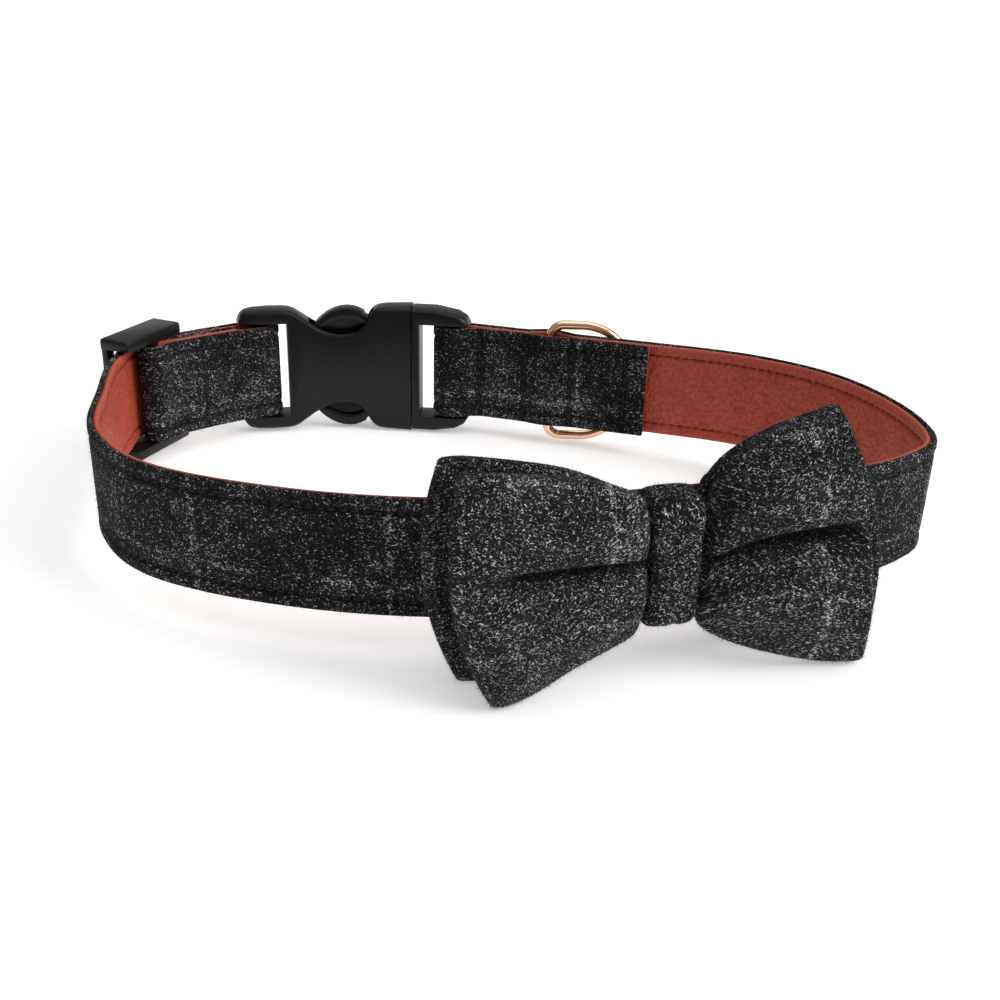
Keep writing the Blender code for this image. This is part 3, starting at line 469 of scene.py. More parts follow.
def moulding_group() -> bpy.types.NodeTree:
    """The surface of moulded or plated pieces: a fine spark texture, dust and slight waves.

    Returns:
        A shader group that puts out a roughness mask, dust and the height.
    """
    graph = new_group(
        "moulded surface", "ShaderNodeTree",
        [("Map", VECTOR, None), ("Grain", FLOAT, 5200.0), ("Scuff", FLOAT, 0.5)],
        [("Mask", FLOAT), ("Dust", FLOAT), ("Height", FLOAT)])
    given = graph.add("NodeGroupInput").outputs
    spark = graph.noise(given["Map"], given["Grain"], 1.0, 0.5)
    wave = graph.noise(given["Map"], 90.0, 2.0, 0.5)
    speck = graph.ramp(graph.noise(given["Map"], 2600.0, 0.0), 0.73, 0.80)
    scuff = graph.ramp(graph.noise(given["Map"], 260.0, 4.0, 0.75), 0.5, 0.75)
    mask = graph.math("MULTIPLY_ADD", scuff, given["Scuff"], graph.math("MULTIPLY", wave, 0.5))
    height = graph.math("MULTIPLY_ADD", wave, 0.6, spark)
    graph.add("NodeGroupOutput", {"Mask": mask, "Dust": speck, "Height": height})
    return graph.tree


# Finishes


def shader_of(name: str) -> tuple[bpy.types.Material, Graph, bpy.types.Node]:
    """An empty material with its shader.

    Args:
        name: the material's name.

    Returns:
        The material, its graph and its Principled BSDF.
    """
    material = bpy.data.materials.new(name)
    material.use_nodes = True
    return material, Graph(material.node_tree), material.node_tree.nodes["Principled BSDF"]


@dataclass(frozen=True)
class TweedFinish:
    """Charcoal wool tweed with short pale dashes."""

    name: str
    dark: tuple = (0.0022, 0.0022, 0.0028, 1.0)
    mid: tuple = (0.020, 0.020, 0.0235, 1.0)
    pale: tuple = (0.74, 0.73, 0.72, 1.0)
    amount: float = 0.5
    cross: float = 0.0068
    shift: float = 0.0
    bump: float = 0.00024

    def make(self, weave: bpy.types.NodeTree) -> bpy.types.Material:
        """Builds the material.

        Args:
            weave: the weave group.

        Returns:
            The material.
        """
        material, graph, shader = shader_of(self.name)
        place = graph.add("ShaderNodeUVMap", uv_map="weave").outputs[0]
        cloth = graph.add("ShaderNodeGroup", node_tree=weave)
        edge, seam = graph.mark("edge"), graph.mark("seam")
        # The edge mark adds pale dashes: a painted highlight along the bow layers' folded edges.
        amount = graph.math("MULTIPLY_ADD", edge, 0.30, self.amount)
        # The seam mark is painted shade: it takes pale dashes away in the strap's stitch grooves and the
        # bow's pleat creases.
        amount = graph.math("MULTIPLY_ADD", seam, -0.55, amount)
        for key, value in (("Map", place), ("Amount", amount), ("Cross", self.cross), ("Shift", self.shift)):
            graph.feed(cloth.inputs[key], value)
        base = graph.blend(graph.ramp(cloth.outputs["Tone"], 0.38, 0.70), self.dark, self.mid)
        colour = graph.blend(cloth.outputs["Slub"], base, self.pale)
        # Painted shade: the seam mark darkens the colour in those grooves and creases.
        colour = graph.blend(graph.math("MULTIPLY", seam, 0.7), colour, self.dark)
        graph.feed(shader.inputs["Base Color"], colour)
        shader.inputs["Roughness"].default_value = 0.95
        shader.inputs["Specular IOR Level"].default_value = 0.08
        shader.inputs["Sheen Weight"].default_value = 0.008
        shader.inputs["Sheen Roughness"].default_value = 0.6
        graph.relief(shader, cloth.outputs["Height"], 0.8, self.bump)
        return material


@dataclass(frozen=True)
class LeatherFinish:
    """Brick-red pebbled leather, with a painted highlight that lightens the rolled rim."""

    name: str
    colour: tuple = (0.420, 0.062, 0.032, 1.0)
    deep: tuple = (0.230, 0.030, 0.016, 1.0)
    # The rim colour is a painted highlight on the rolled rim.
    rim: tuple = (0.460, 0.105, 0.064, 1.0)
    cell: float = 0.00105
    bump: float = 0.00022

    def make(self, grain: bpy.types.NodeTree) -> bpy.types.Material:
        """Builds the material.

        Args:
            grain: the grain group.

        Returns:
            The material.
        """
        material, graph, shader = shader_of(self.name)
        place = graph.add("ShaderNodeUVMap", uv_map="weave").outputs[0]
        skin = graph.add("ShaderNodeGroup", node_tree=grain)
        graph.feed(skin.inputs["Map"], place)
        graph.feed(skin.inputs["Cell"], self.cell)
        rim = graph.mark("rim")
        colour = graph.blend(graph.ramp(skin.outputs["Wear"], 0.35, 0.7, 0.0, 0.30), self.colour, self.deep)
        colour = graph.blend(graph.math("MULTIPLY", skin.outputs["Crease"], 0.55), colour, self.deep)
        # Painted highlight: the rim mark lightens the colour along the rolled rim.
        colour = graph.blend(graph.math("MULTIPLY", rim, 0.55), colour, self.rim)
        graph.feed(shader.inputs["Base Color"], colour)
        graph.feed(shader.inputs["Roughness"], graph.ramp(skin.outputs["Wear"], 0.3, 0.7, 0.50, 0.62))
        shader.inputs["Specular IOR Level"].default_value = 0.32
        graph.relief(shader, skin.outputs["Height"], 0.85, self.bump)
        return material


@dataclass(frozen=True)
class HardFinish:
    """Moulded plastic or plated metal."""

    name: str
    colour: tuple
    worn: tuple
    rough: tuple = (0.34, 0.46)
    metallic: float = 0.0
    specular: float = 0.22
    grain: float = 5200.0
    bump: float = 0.00002
    dust: float = 0.15

    def make(self, moulding: bpy.types.NodeTree) -> bpy.types.Material:
        """Builds the material.

        Args:
            moulding: the moulded surface group.

        Returns:
            The material.
        """
        material, graph, shader = shader_of(self.name)
        place = graph.add("ShaderNodeTexCoord").outputs["Object"]
        face = graph.add("ShaderNodeGroup", node_tree=moulding)
        graph.feed(face.inputs["Map"], place)
        graph.feed(face.inputs["Grain"], self.grain)
        colour = graph.blend(graph.math("MULTIPLY", face.outputs["Dust"], self.dust), self.colour, self.worn)
        graph.feed(shader.inputs["Base Color"], colour)
        graph.feed(shader.inputs["Roughness"], graph.ramp(face.outputs["Mask"], 0.1, 0.8, *self.rough))
        shader.inputs["Metallic"].default_value = self.metallic
        shader.inputs["Specular IOR Level"].default_value = self.specular
        graph.relief(shader, face.outputs["Height"], 0.35, self.bump)
        return material


@dataclass(frozen=True)
class ThreadFinish:
    """Spun thread, fibre or elastic, with a twist that shows up close."""

    name: str
    colour: tuple
    light: tuple
    scale: float = 2600.0
    rough: float = 0.8
    bump: float = 0.00006

    def make(self) -> bpy.types.Material:
        """Builds the material.

        Returns:
            The material.
        """
        material, graph, shader = shader_of(self.name)
        place = graph.add("ShaderNodeTexCoord").outputs["Object"]
        twist = graph.noise(place, self.scale, 2.0, 0.6)
        colour = graph.blend(graph.ramp(twist, 0.4, 0.7), self.colour, self.light)
        graph.feed(shader.inputs["Base Color"], colour)
        shader.inputs["Roughness"].default_value = self.rough
        graph.relief(shader, twist, 0.5, self.bump)
        return material


# Geometry node tools


def any_way(graph: Graph, seed) -> bpy.types.NodeSocket:
    """A random vector for each point, between -1 and 1 each way."""
    limits = {0: (-1.0, -1.0, -1.0), 1: (1.0, 1.0, 1.0), "Seed": seed}
    return graph.add("FunctionNodeRandomValue", limits, data_type="FLOAT_VECTOR").outputs[0]


def finished(graph: Graph, placed: bpy.types.Node, material) -> bpy.types.NodeTree:
    """Ends a geometry tree.

    Args:
        graph: the tree's graph.
        placed: the node that places the instances.
        material: the socket that gives their material.

    Returns:
        The tree, which makes the instances real and dresses them.
    """
    real = graph.add("GeometryNodeRealizeInstances", {0: placed.outputs[0]}).outputs[0]
    dressed = graph.add("GeometryNodeSetMaterial", {"Geometry": real, "Material": material}).outputs[0]
    graph.add("NodeGroupOutput", {"Geometry": dressed})
    return graph.tree


def stitch_tree() -> bpy.types.NodeTree:
    """Sets a row of stitches along a curve.

    Returns:
        A geometry tree with the pitch, stitch length, thread radius, jitter, seed and material as inputs.
    """
    graph = new_group(
        "row of stitches", "GeometryNodeTree",
        [("Geometry", GEOMETRY, None), ("Pitch", FLOAT, 0.0022), ("Stitch length", FLOAT, 0.0017),
         ("Thread radius", FLOAT, 0.00022), ("Jitter", FLOAT, 0.06), ("Seed", WHOLE, 3),
         ("Thread", MATERIAL, None)],
        [("Geometry", GEOMETRY)])
    given = graph.add("NodeGroupInput").outputs
    row = graph.add("GeometryNodeResampleCurve", {"Curve": given["Geometry"], "Length": given["Pitch"]},
                    mode="LENGTH").outputs[0]
    ball = graph.add("GeometryNodeMeshUVSphere", {"Segments": 7, "Rings": 5, "Radius": 1.0}).outputs[0]
    half = graph.math("MULTIPLY", given["Stitch length"], 0.5)
    size = graph.vector(half, given["Thread radius"], given["Thread radius"])
    stitch = graph.add("GeometryNodeTransform", {"Geometry": ball, "Scale": size}).outputs[0]
    lean = any_way(graph, given["Seed"])
    tangent = graph.add("GeometryNodeInputTangent").outputs[0]
    aim = graph.sum(tangent, graph.scaled(lean, given["Jitter"]))
    turn = graph.add("FunctionNodeAlignRotationToVector", {"Vector": aim}, axis="X").outputs[0]
    placed = graph.add("GeometryNodeInstanceOnPoints", {"Points": row, "Instance": stitch, "Rotation": turn})
    return finished(graph, placed, given["Thread"])


def fibre_tree() -> bpy.types.NodeTree:
    """Grows loose wool fibres out of a cloth surface.

    Returns:
        A geometry tree with the density, fibre length, radius, spread, seed and material as inputs.
    """
    graph = new_group(
        "loose fibres", "GeometryNodeTree",
        [("Geometry", GEOMETRY, None), ("Density", FLOAT, 1.0e6), ("Fibre length", FLOAT, 0.0009),
         ("Fibre radius", FLOAT, 0.000016), ("Spread", FLOAT, 1.6), ("Seed", WHOLE, 5),
         ("Fibre", MATERIAL, None)],
        [("Geometry", GEOMETRY)])
    given = graph.add("NodeGroupInput").outputs
    mark = graph.add("GeometryNodeInputNamedAttribute", {"Name": "fuzz"}, data_type="FLOAT").outputs[0]
    dense = graph.math("MULTIPLY", given["Density"], mark)
    points = graph.add("GeometryNodeDistributePointsOnFaces",
                       {"Mesh": given["Geometry"], "Density": dense, "Seed": given["Seed"]},
                       distribute_method="RANDOM")
    cone = graph.add("GeometryNodeMeshCone", {"Vertices": 3, "Side Segments": 1, "Fill Segments": 1,
                                              "Radius Top": 0.0, "Radius Bottom": given["Fibre radius"],
                                              "Depth": given["Fibre length"]}).outputs[0]
    lean = any_way(graph, given["Seed"])
    aim = graph.sum(points.outputs["Normal"], graph.scaled(lean, given["Spread"]))
    turn = graph.add("FunctionNodeAlignRotationToVector", {"Vector": aim}, axis="Z").outputs[0]
    long = graph.add("FunctionNodeRandomValue", {2: 0.3, 3: 1.0, "Seed": 11}, data_type="FLOAT").outputs[1]
    size = graph.vector(1.0, 1.0, long)
    placed = graph.add("GeometryNodeInstanceOnPoints", {"Points": points.outputs[0], "Instance": cone,
                                                        "Rotation": turn, "Scale": size})
    return finished(graph, placed, given["Fibre"])


def grow(name: str, source: bpy.types.Object, tree: bpy.types.NodeTree, values: dict) -> bpy.types.Object:
    """Runs a geometry tree on a copy of the source and keeps what it makes as a plain mesh.

    Args:
        name: the new object's name.
        source: the mesh or curve that the tree reads.
        tree: the geometry tree.
        values: the tree's inputs by name.

    Returns:
        The new object, with no modifier.
    """
    holder = linked(name + "_path", source.data)
    modifier = holder.modifiers.new("grow", "NODES")
    modifier.node_group = tree
    sockets = {item.name: item.identifier for item in tree.interface.items_tree if item.in_out == "INPUT"}
    for label, value in values.items():
        modifier[sockets[label]] = value
    graph = bpy.context.evaluated_depsgraph_get()
    mesh = bpy.data.meshes.new_from_object(holder.evaluated_get(graph), depsgraph=graph)
    bpy.data.objects.remove(holder, do_unlink=True)
    mesh.name = name
    return linked(name, mesh)


def polyline(name: str, rows: Sequence[np.ndarray]) -> bpy.types.Object:
    """An open curve for each row of points.

    Args:
        name: the curve's name.
        rows: arrays of points in the collar's frame.

    Returns:
        The curve object.
    """
    curve = bpy.data.curves.new(name, "CURVE")
    curve.dimensions = "3D"
    for row in rows:
        spline = curve.splines.new("POLY")
        spline.points.add(len(row) - 1)
        for point, place in zip(spline.points, row):
            point.co = (*(COLLAR_PLACE @ Vector(place)), 1.0)
    return bpy.data.objects.new(name, curve)


# The strap


@dataclass
class StrapRoute:
    """Where the strap runs, seen from above."""

    half_width: float = 0.090
    half_depth: float = 0.056
    stack: float = 0.0023
    run_pitch: float = 0.0026
    bar_spread: float = 0.0063
    ring_spread: float = 0.0057
    bar_rise: float = 0.0095
    pocket_rise: float = 0.0074
    pocket_outward: float = 0.70
    fold_back: float = 0.0516
    ring_station: float = 0.0262
    slide_station: float = 0.0315
    slide_set_in: float = 0.0016
    slide_half: float = 0.00245
    slide_rise: float = 0.0115
    slide_turn_in: float = 0.0004
    tail_length: float = 0.0240
    curve_radius: float = 0.120
    male_bar_x: float = -0.0138
    female_bar_x: float = -0.0631
    turn_past_bar: float = 0.0004
    step: float = 0.0010
    buckle_left_share: float = 0.3333
    buckle_back_share: float = 1.0143
    line: np.ndarray = field(init=False)
    distance: np.ndarray = field(init=False)

    def __post_init__(self) -> None:
        """Works out the middle line."""
        plan = np.array(LOOP_PLAN) * (self.half_width, self.half_depth)
        first = self.beside_bar(self.male_bar_x - self.turn_past_bar, plan[0], 1)
        last = self.beside_bar(self.female_bar_x + self.turn_past_bar, plan[-1], -1)
        self.line = smooth_curve([first, *plan, last], 40)
        steps = np.hypot(*np.diff(self.line, axis=0).T)
        self.distance = np.concatenate([[0.0], np.cumsum(steps)])

    @property
    def length(self) -> float:
        """The middle line's length."""
        return float(self.distance[-1])

    @property
    def slide_at(self) -> float:
        """Where the slide's centre bar is."""
        return self.length - self.slide_station

    def on_buckle(self, x: float, across: float = 0.0) -> np.ndarray:
        """A point of the buckle's curved middle surface.

        Args:
            x: the place along the collar.
            across: how far outwards of the surface.

        Returns:
            The point seen from above.
        """
        along = x + self.half_width * self.buckle_left_share
        tilt = math.atan(-along / self.curve_radius)
        y = self.buckle_back_share * self.half_depth - along**2 / (2 * self.curve_radius)
        return np.array([x - across * math.sin(tilt), y + across * math.cos(tilt)])

    def beside_bar(self, x: float, neighbour: np.ndarray, side: int) -> np.ndarray:
        """Where a straight run from the neighbour meets the turn round a bar.

        Args:
            x: the turn's middle.
            neighbour: the next point of the line.
            side: 1 at the start of the line, -1 at its end.

        Returns:
            The end point of the line.
        """
        centre = self.on_buckle(x)
        away = neighbour - centre
        turn = self.bar_spread / 2
        angle = math.atan2(away[1], away[0]) + side * math.acos(turn / np.hypot(*away))
        return centre + turn * np.array([math.cos(angle), math.sin(angle)])

    def at(self, s: float) -> np.ndarray:
        """The line's point at a distance."""
        return np.array([np.interp(s, self.distance, self.line[:, i]) for i in (0, 1)])

    def outward(self, s: float) -> np.ndarray:
        """The direction out of the loop at a distance."""
        reach = 0.0012
        along = self.at(min(s + reach, self.length)) - self.at(max(s - reach, 0.0))
        return np.array([-along[1], along[0]]) / np.hypot(*along)

    def aside(self, s: float, offset: float) -> np.ndarray:
        """The point beside the line, outwards where the offset is positive."""
        return self.at(s) + self.outward(s) * offset

    def tail(self, s: float) -> float:
        """The tail's offset."""
        rise = hump(s, self.slide_at, self.slide_rise)
        return -self.run_pitch + rise * (self.run_pitch - self.slide_set_in + self.slide_half)

    def main(self, s: float) -> float:
        """The long run's offset."""
        ring = (self.ring_spread - self.run_pitch) * self.pocket_outward
        slope = (self.tail(s + 0.0004) - self.tail(s - 0.0004)) / 0.0008
        return (ring * hump(s, self.ring_station, self.pocket_rise) + self.tail(s)
                + self.run_pitch * math.hypot(1.0, slope))

    def fold(self, s: float) -> float:
        """The fold-back's offset."""
        ring = (self.ring_spread - self.run_pitch) * (1 - self.pocket_outward)
        near = (self.bar_spread - self.run_pitch) * hump(s, 0.0, self.bar_rise)
        return -(self.run_pitch + near + ring * hump(s, self.ring_station, self.pocket_rise))

    def back(self, s: float) -> float:
        """The offset of the run that comes back from the female half."""
        beside = 2 * self.run_pitch
        near = hump(s, self.length, self.bar_rise) * (self.bar_spread - beside)
        rise = hump(s, self.slide_at, self.slide_rise)
        return -(beside + near) + rise * (beside - self.slide_set_in - self.slide_half)

    def stations(self) -> tuple[np.ndarray, np.ndarray, np.ndarray]:
        """Every station of the strap from hem to tail.

        Returns:
            The points seen from above, the run that each is in, and its distance on the line.
        """
        fold_at = self.slide_at - self.slide_turn_in
        plan = (
            (Run.FOLD, self.fold_back, 0.0, self.fold),
            (Run.MAIN, 0.0, self.length, self.main),
            (Run.RETURN, self.length, fold_at, self.back),
            (Run.TAIL, fold_at, self.slide_at + self.tail_length, self.tail),
        )
        points, runs, places = [], [], []
        for run, start, end, offset in plan:
            if points:
                begin = self.aside(start, offset(start))
                for point in self.turn(points[-1], begin):
                    points.append(point)
                    runs.append(run.value - 1)
                    places.append(start)
            count = int(abs(end - start) / self.step)
            for s in np.linspace(start, end, count + 1):
                points.append(self.aside(s, offset(s)))
                runs.append(run.value)
                places.append(s)
        return np.array(points), np.array(runs), np.array(places)

    @staticmethod
    def turn(start: np.ndarray, end: np.ndarray, pieces: int = 16) -> list[np.ndarray]:
        """A half circle clockwise between two points.

        Args:
            start: where it begins.
            end: where it ends.
            pieces: how many spans it has.

        Returns:
            The points between the two.
        """
        middle = (start + end) / 2
        arm = start - middle
        found = []
        for i in range(1, pieces):
            angle = -math.pi * i / pieces
            c, s = math.cos(angle), math.sin(angle)
            found.append(middle + np.array([c * arm[0] - s * arm[1], s * arm[0] + c * arm[1]]))
        return found


@dataclass
class Strap:
    """The strap's two plies, their stitching and the tweed's loose fibres."""

    route: StrapRoute
    width: float = 0.024
    tweed: float = 0.0011
    lining: float = 0.0010
    ply_gap: float = 0.0001
    lining_set_in: float = 0.00030
    stitch_in: float = 0.0030
    edge_round: float = 0.00052
    groove: float = 0.00042
    groove_reach: float = 0.00046
    cross_on_fold: tuple = (0.0084, 0.0205, 0.0325, 0.0464)
    cross_on_return: float = 0.0177
    points: np.ndarray = field(init=False)
    runs: np.ndarray = field(init=False)
    places: np.ndarray = field(init=False)
    along: np.ndarray = field(init=False)
    left: np.ndarray = field(init=False)

    def __post_init__(self) -> None:
        """Reads the route."""
        self.points, self.runs, self.places = self.route.stations()
        steps = np.hypot(*np.diff(self.points, axis=0).T)
        self.along = np.concatenate([[0.0], np.cumsum(steps)])
        way = np.gradient(self.points, self.along, axis=0)
        for _ in range(2):
            way[1:-1] = (way[:-2] + 2 * way[1:-1] + way[2:]) / 4
        way /= np.hypot(*way.T)[:, None]
        self.left = np.stack([-way[:, 1], way[:, 0]], axis=1)

    def crossings(self) -> np.ndarray:
        """How much each station is drawn in by a row of stitches across the strap."""
        drawn = np.zeros(len(self.along))
        for s in self.cross_on_fold:
            near = (self.runs == Run.FOLD.value) | (self.runs == Run.MAIN.value)
            drawn += near * np.exp(-(((self.places - s) / 0.00075) ** 2))
        s = self.route.length - self.cross_on_return
        near = self.runs == Run.RETURN.value
        return np.clip(drawn + near * np.exp(-(((self.places - s) / 0.00090) ** 2)), 0, 1)

    def section(self, ply: Ply) -> tuple[np.ndarray, np.ndarray, np.ndarray]:
        """One ply's section, as heights over the route and places across the width.

        Args:
            ply: which ply.

        Returns:
            Outer heights, places across the width, and which points lie on the outer face.
        """
        thick = self.tweed if ply is Ply.TWEED else self.lining
        low = self.ply_gap / 2
        high = thick + 0.00005
        inset = 0.0 if ply is Ply.TWEED else self.lining_set_in
        r = self.edge_round if ply is Ply.TWEED else self.edge_round * 0.7
        angles = np.linspace(0, math.pi / 2, 6)
        face = np.unique(np.concatenate([
            np.linspace(r, self.width - r, 22),
            self.stitch_in + np.linspace(-1, 1, 7) * self.groove_reach * 1.6,
            self.width - self.stitch_in + np.linspace(-1, 1, 7) * self.groove_reach * 1.6,
        ]))
        start = [(high - r + r * math.sin(t), r - r * math.cos(t)) for t in angles[:-1]]
        middle = [(high, z) for z in face]
        end = [(high - r + r * math.cos(t), self.width - r + r * math.sin(t)) for t in angles[1:]]
        inner = [(low, self.width - 0.0001), (low, self.width * 0.75), (low, self.width / 2),
                 (low, self.width / 4), (low, 0.0001)]
        rows = np.array(start + middle + end + inner)
        rows[:, 1] = inset + rows[:, 1] * (1 - 2 * inset / self.width)
        outer = np.array([True] * (len(rows) - len(inner)) + [False] * len(inner))
        return rows[:, 0], rows[:, 1], outer

    def ply(self, ply: Ply, name: str) -> bpy.types.Object:
        """Sweeps one ply along the route.

        Args:
            ply: which ply.
            name: the object's name.

        Returns:
            The ply.
        """
        height, across, outer = self.section(ply)
        drawn = self.crossings()
        rng = np.random.default_rng(7 if ply is Ply.TWEED else 8)
        count = len(self.points)
        sway = np.convolve(rng.normal(0, 1, count + 60), np.hanning(25) / 12, "same")[30:-30] * 0.00006
        rows = np.empty((count, len(height), 3))
        for j, (h, z) in enumerate(zip(height, across)):
            lift = np.full(count, h)
            if outer[j]:
                rim_in = min(z, self.width - z)
                seam = math.exp(-(((rim_in - self.stitch_in) / self.groove_reach) ** 2))
                puff = 0.00010 * math.exp(-(((rim_in - 0.0014) / 0.0008) ** 2))
                lift += puff - self.groove * seam - 0.00045 * drawn * (rim_in > 0.0006)
            side = ply.value * lift
            rows[:, j, :2] = self.points + self.left * side[:, None]
            rows[:, j, 2] = z + sway * (1 if z > self.width / 2 else -0.6)
        rows = self.round_ends(rows, ply)
        step = np.hypot(np.diff(np.append(height, height[0])), np.diff(np.append(across, across[0])))
        around = np.concatenate([[0.0], np.cumsum(step)])
        uv = np.empty((len(rows), len(height) + 1, 2))
        uv[..., 0] = np.concatenate([[self.along[0]] * 3, self.along, [self.along[-1]] * 3])[:, None]
        uv[..., 1] = around[None, :]
        rim_in = np.minimum(across, self.width - across)
        # The rim mark places the painted highlight along the lining's rolled rim.
        rim = np.where(outer, np.clip(1.25 - rim_in / 0.0013, 0, 1), 0.0)
        fuzz = np.where(outer, np.clip(2.2 - rim_in / 0.0012, 0.55, 2.2), 0.0)
        open_run = np.isin(self.runs, (Run.FOLD.value, Run.MAIN.value, Run.RETURN.value))
        shown = np.concatenate([[0.0] * 3, open_run.astype(float), [0.0] * 3])
        # The seam mark is painted shade in the stitch grooves and along the rows of stitches across the
        # strap, where the cloth is drawn in.
        seam = np.where(outer, np.exp(-(((rim_in - self.stitch_in) / (self.groove_reach * 0.7)) ** 2)), 0.0)
        drawn = np.concatenate([[0.0] * 3, drawn, [0.0] * 3])
        marks = {"rim": np.tile(rim, (len(rows), 1)), "fuzz": shown[:, None] * fuzz[None, :],
                 "seam": np.maximum(seam[None, :], 0.6 * drawn[:, None] ** 2 * outer[None, :])}
        return grid_mesh(name, rows, uv, marks)

    def round_ends(self, rows: np.ndarray, ply: Ply) -> np.ndarray:
        """Adds three shrinking rings at each end, so that the ends are rounded.

        Args:
            rows: the swept rings.
            ply: which ply.

        Returns:
            The rings with the ends added.
        """
        reach = 0.0005
        first, last = [], []
        for end, made, way in ((0, first, -1), (-1, last, 1)):
            ring = rows[end]
            middle = ring.mean(axis=0)
            left = self.left[end]
            ahead = np.array([left[1], -left[0], 0.0]) * way
            for angle in (0.5, 1.0, 1.4):
                shrink = 1 - (1 - math.cos(angle)) * 0.35
                made.append(middle + (ring - middle) * (shrink, shrink, 1 - (1 - shrink) * 0.08)
                            + ahead * reach * math.sin(angle))
        return np.concatenate([np.array(first[::-1]), rows, np.array(last)])

    def rows_of_stitches(self, ply: Ply) -> list[np.ndarray]:
        """The paths of the stitching on one face of the strap.

        Args:
            ply: which face.

        Returns:
            One array of points for each row.
        """
        thick = self.tweed if ply is Ply.TWEED else self.lining
        lift = ply.value * (thick + 0.00005 - self.groove * 0.75)
        edge = self.points + self.left * lift
        found = []
        for z in (self.stitch_in, self.width - self.stitch_in):
            found.append(np.column_stack([edge, np.full(len(edge), z)]))
        if ply is Ply.TWEED:
            marks = [(Run.FOLD, s) for s in self.cross_on_fold]
            marks += [(Run.RETURN, self.route.length - self.cross_on_return)]
            lift = ply.value * (thick - 0.00030)
            edge = self.points + self.left * lift
            for run, s in marks:
                near = np.where(self.runs == run.value)[0]
                k = near[np.argmin(abs(self.places[near] - s))]
                zs = np.linspace(self.stitch_in, self.width - self.stitch_in, 12)
                found.append(np.column_stack([np.tile(edge[k], (12, 1)), zs]))
        return found

    def build(self, finishes: "Finishes", tools: "Tools") -> list[bpy.types.Object]:
        """Makes the strap's pieces.

        Args:
            finishes: the materials.
            tools: the geometry trees.

        Returns:
            The tweed ply and the lining.
        """
        tweed = show(self.ply(Ply.TWEED, "strap_tweed_cloth"), finishes.tweed_strap, Body.COLLAR,
                     "tweed_strap", "strap_tweed")
        lining = show(self.ply(Ply.LINING, "strap_lining_leather"), finishes.leather, Body.COLLAR,
                      "leather_lining", "strap_lining")
        for ply, thread, slot, pitch, radius in (
            (Ply.TWEED, finishes.black_thread, "tweed_strap", 0.0021, 0.00020),
            (Ply.LINING, finishes.brown_thread, "leather_lining", 0.0021, 0.00013),
        ):
            label = f"{ply.name.lower()}_stitches"
            values = {"Pitch": pitch, "Stitch length": pitch * 0.80, "Thread radius": radius,
                      "Jitter": 0.07, "Seed": 3, "Thread": thread}
            path = polyline(label + "_route", self.rows_of_stitches(ply))
            show(grow(label, path, tools.stitches, values), thread, Body.COLLAR, slot)
        values = {"Density": 1.25e6, "Fibre length": 0.00120, "Fibre radius": 0.000027, "Spread": 1.3,
                  "Seed": 5, "Fibre": finishes.fibre}
        show(grow("strap_fibres", tweed, tools.fibres, values), finishes.fibre, Body.COLLAR, "tweed_strap")
        return [tweed, lining]


# The bow


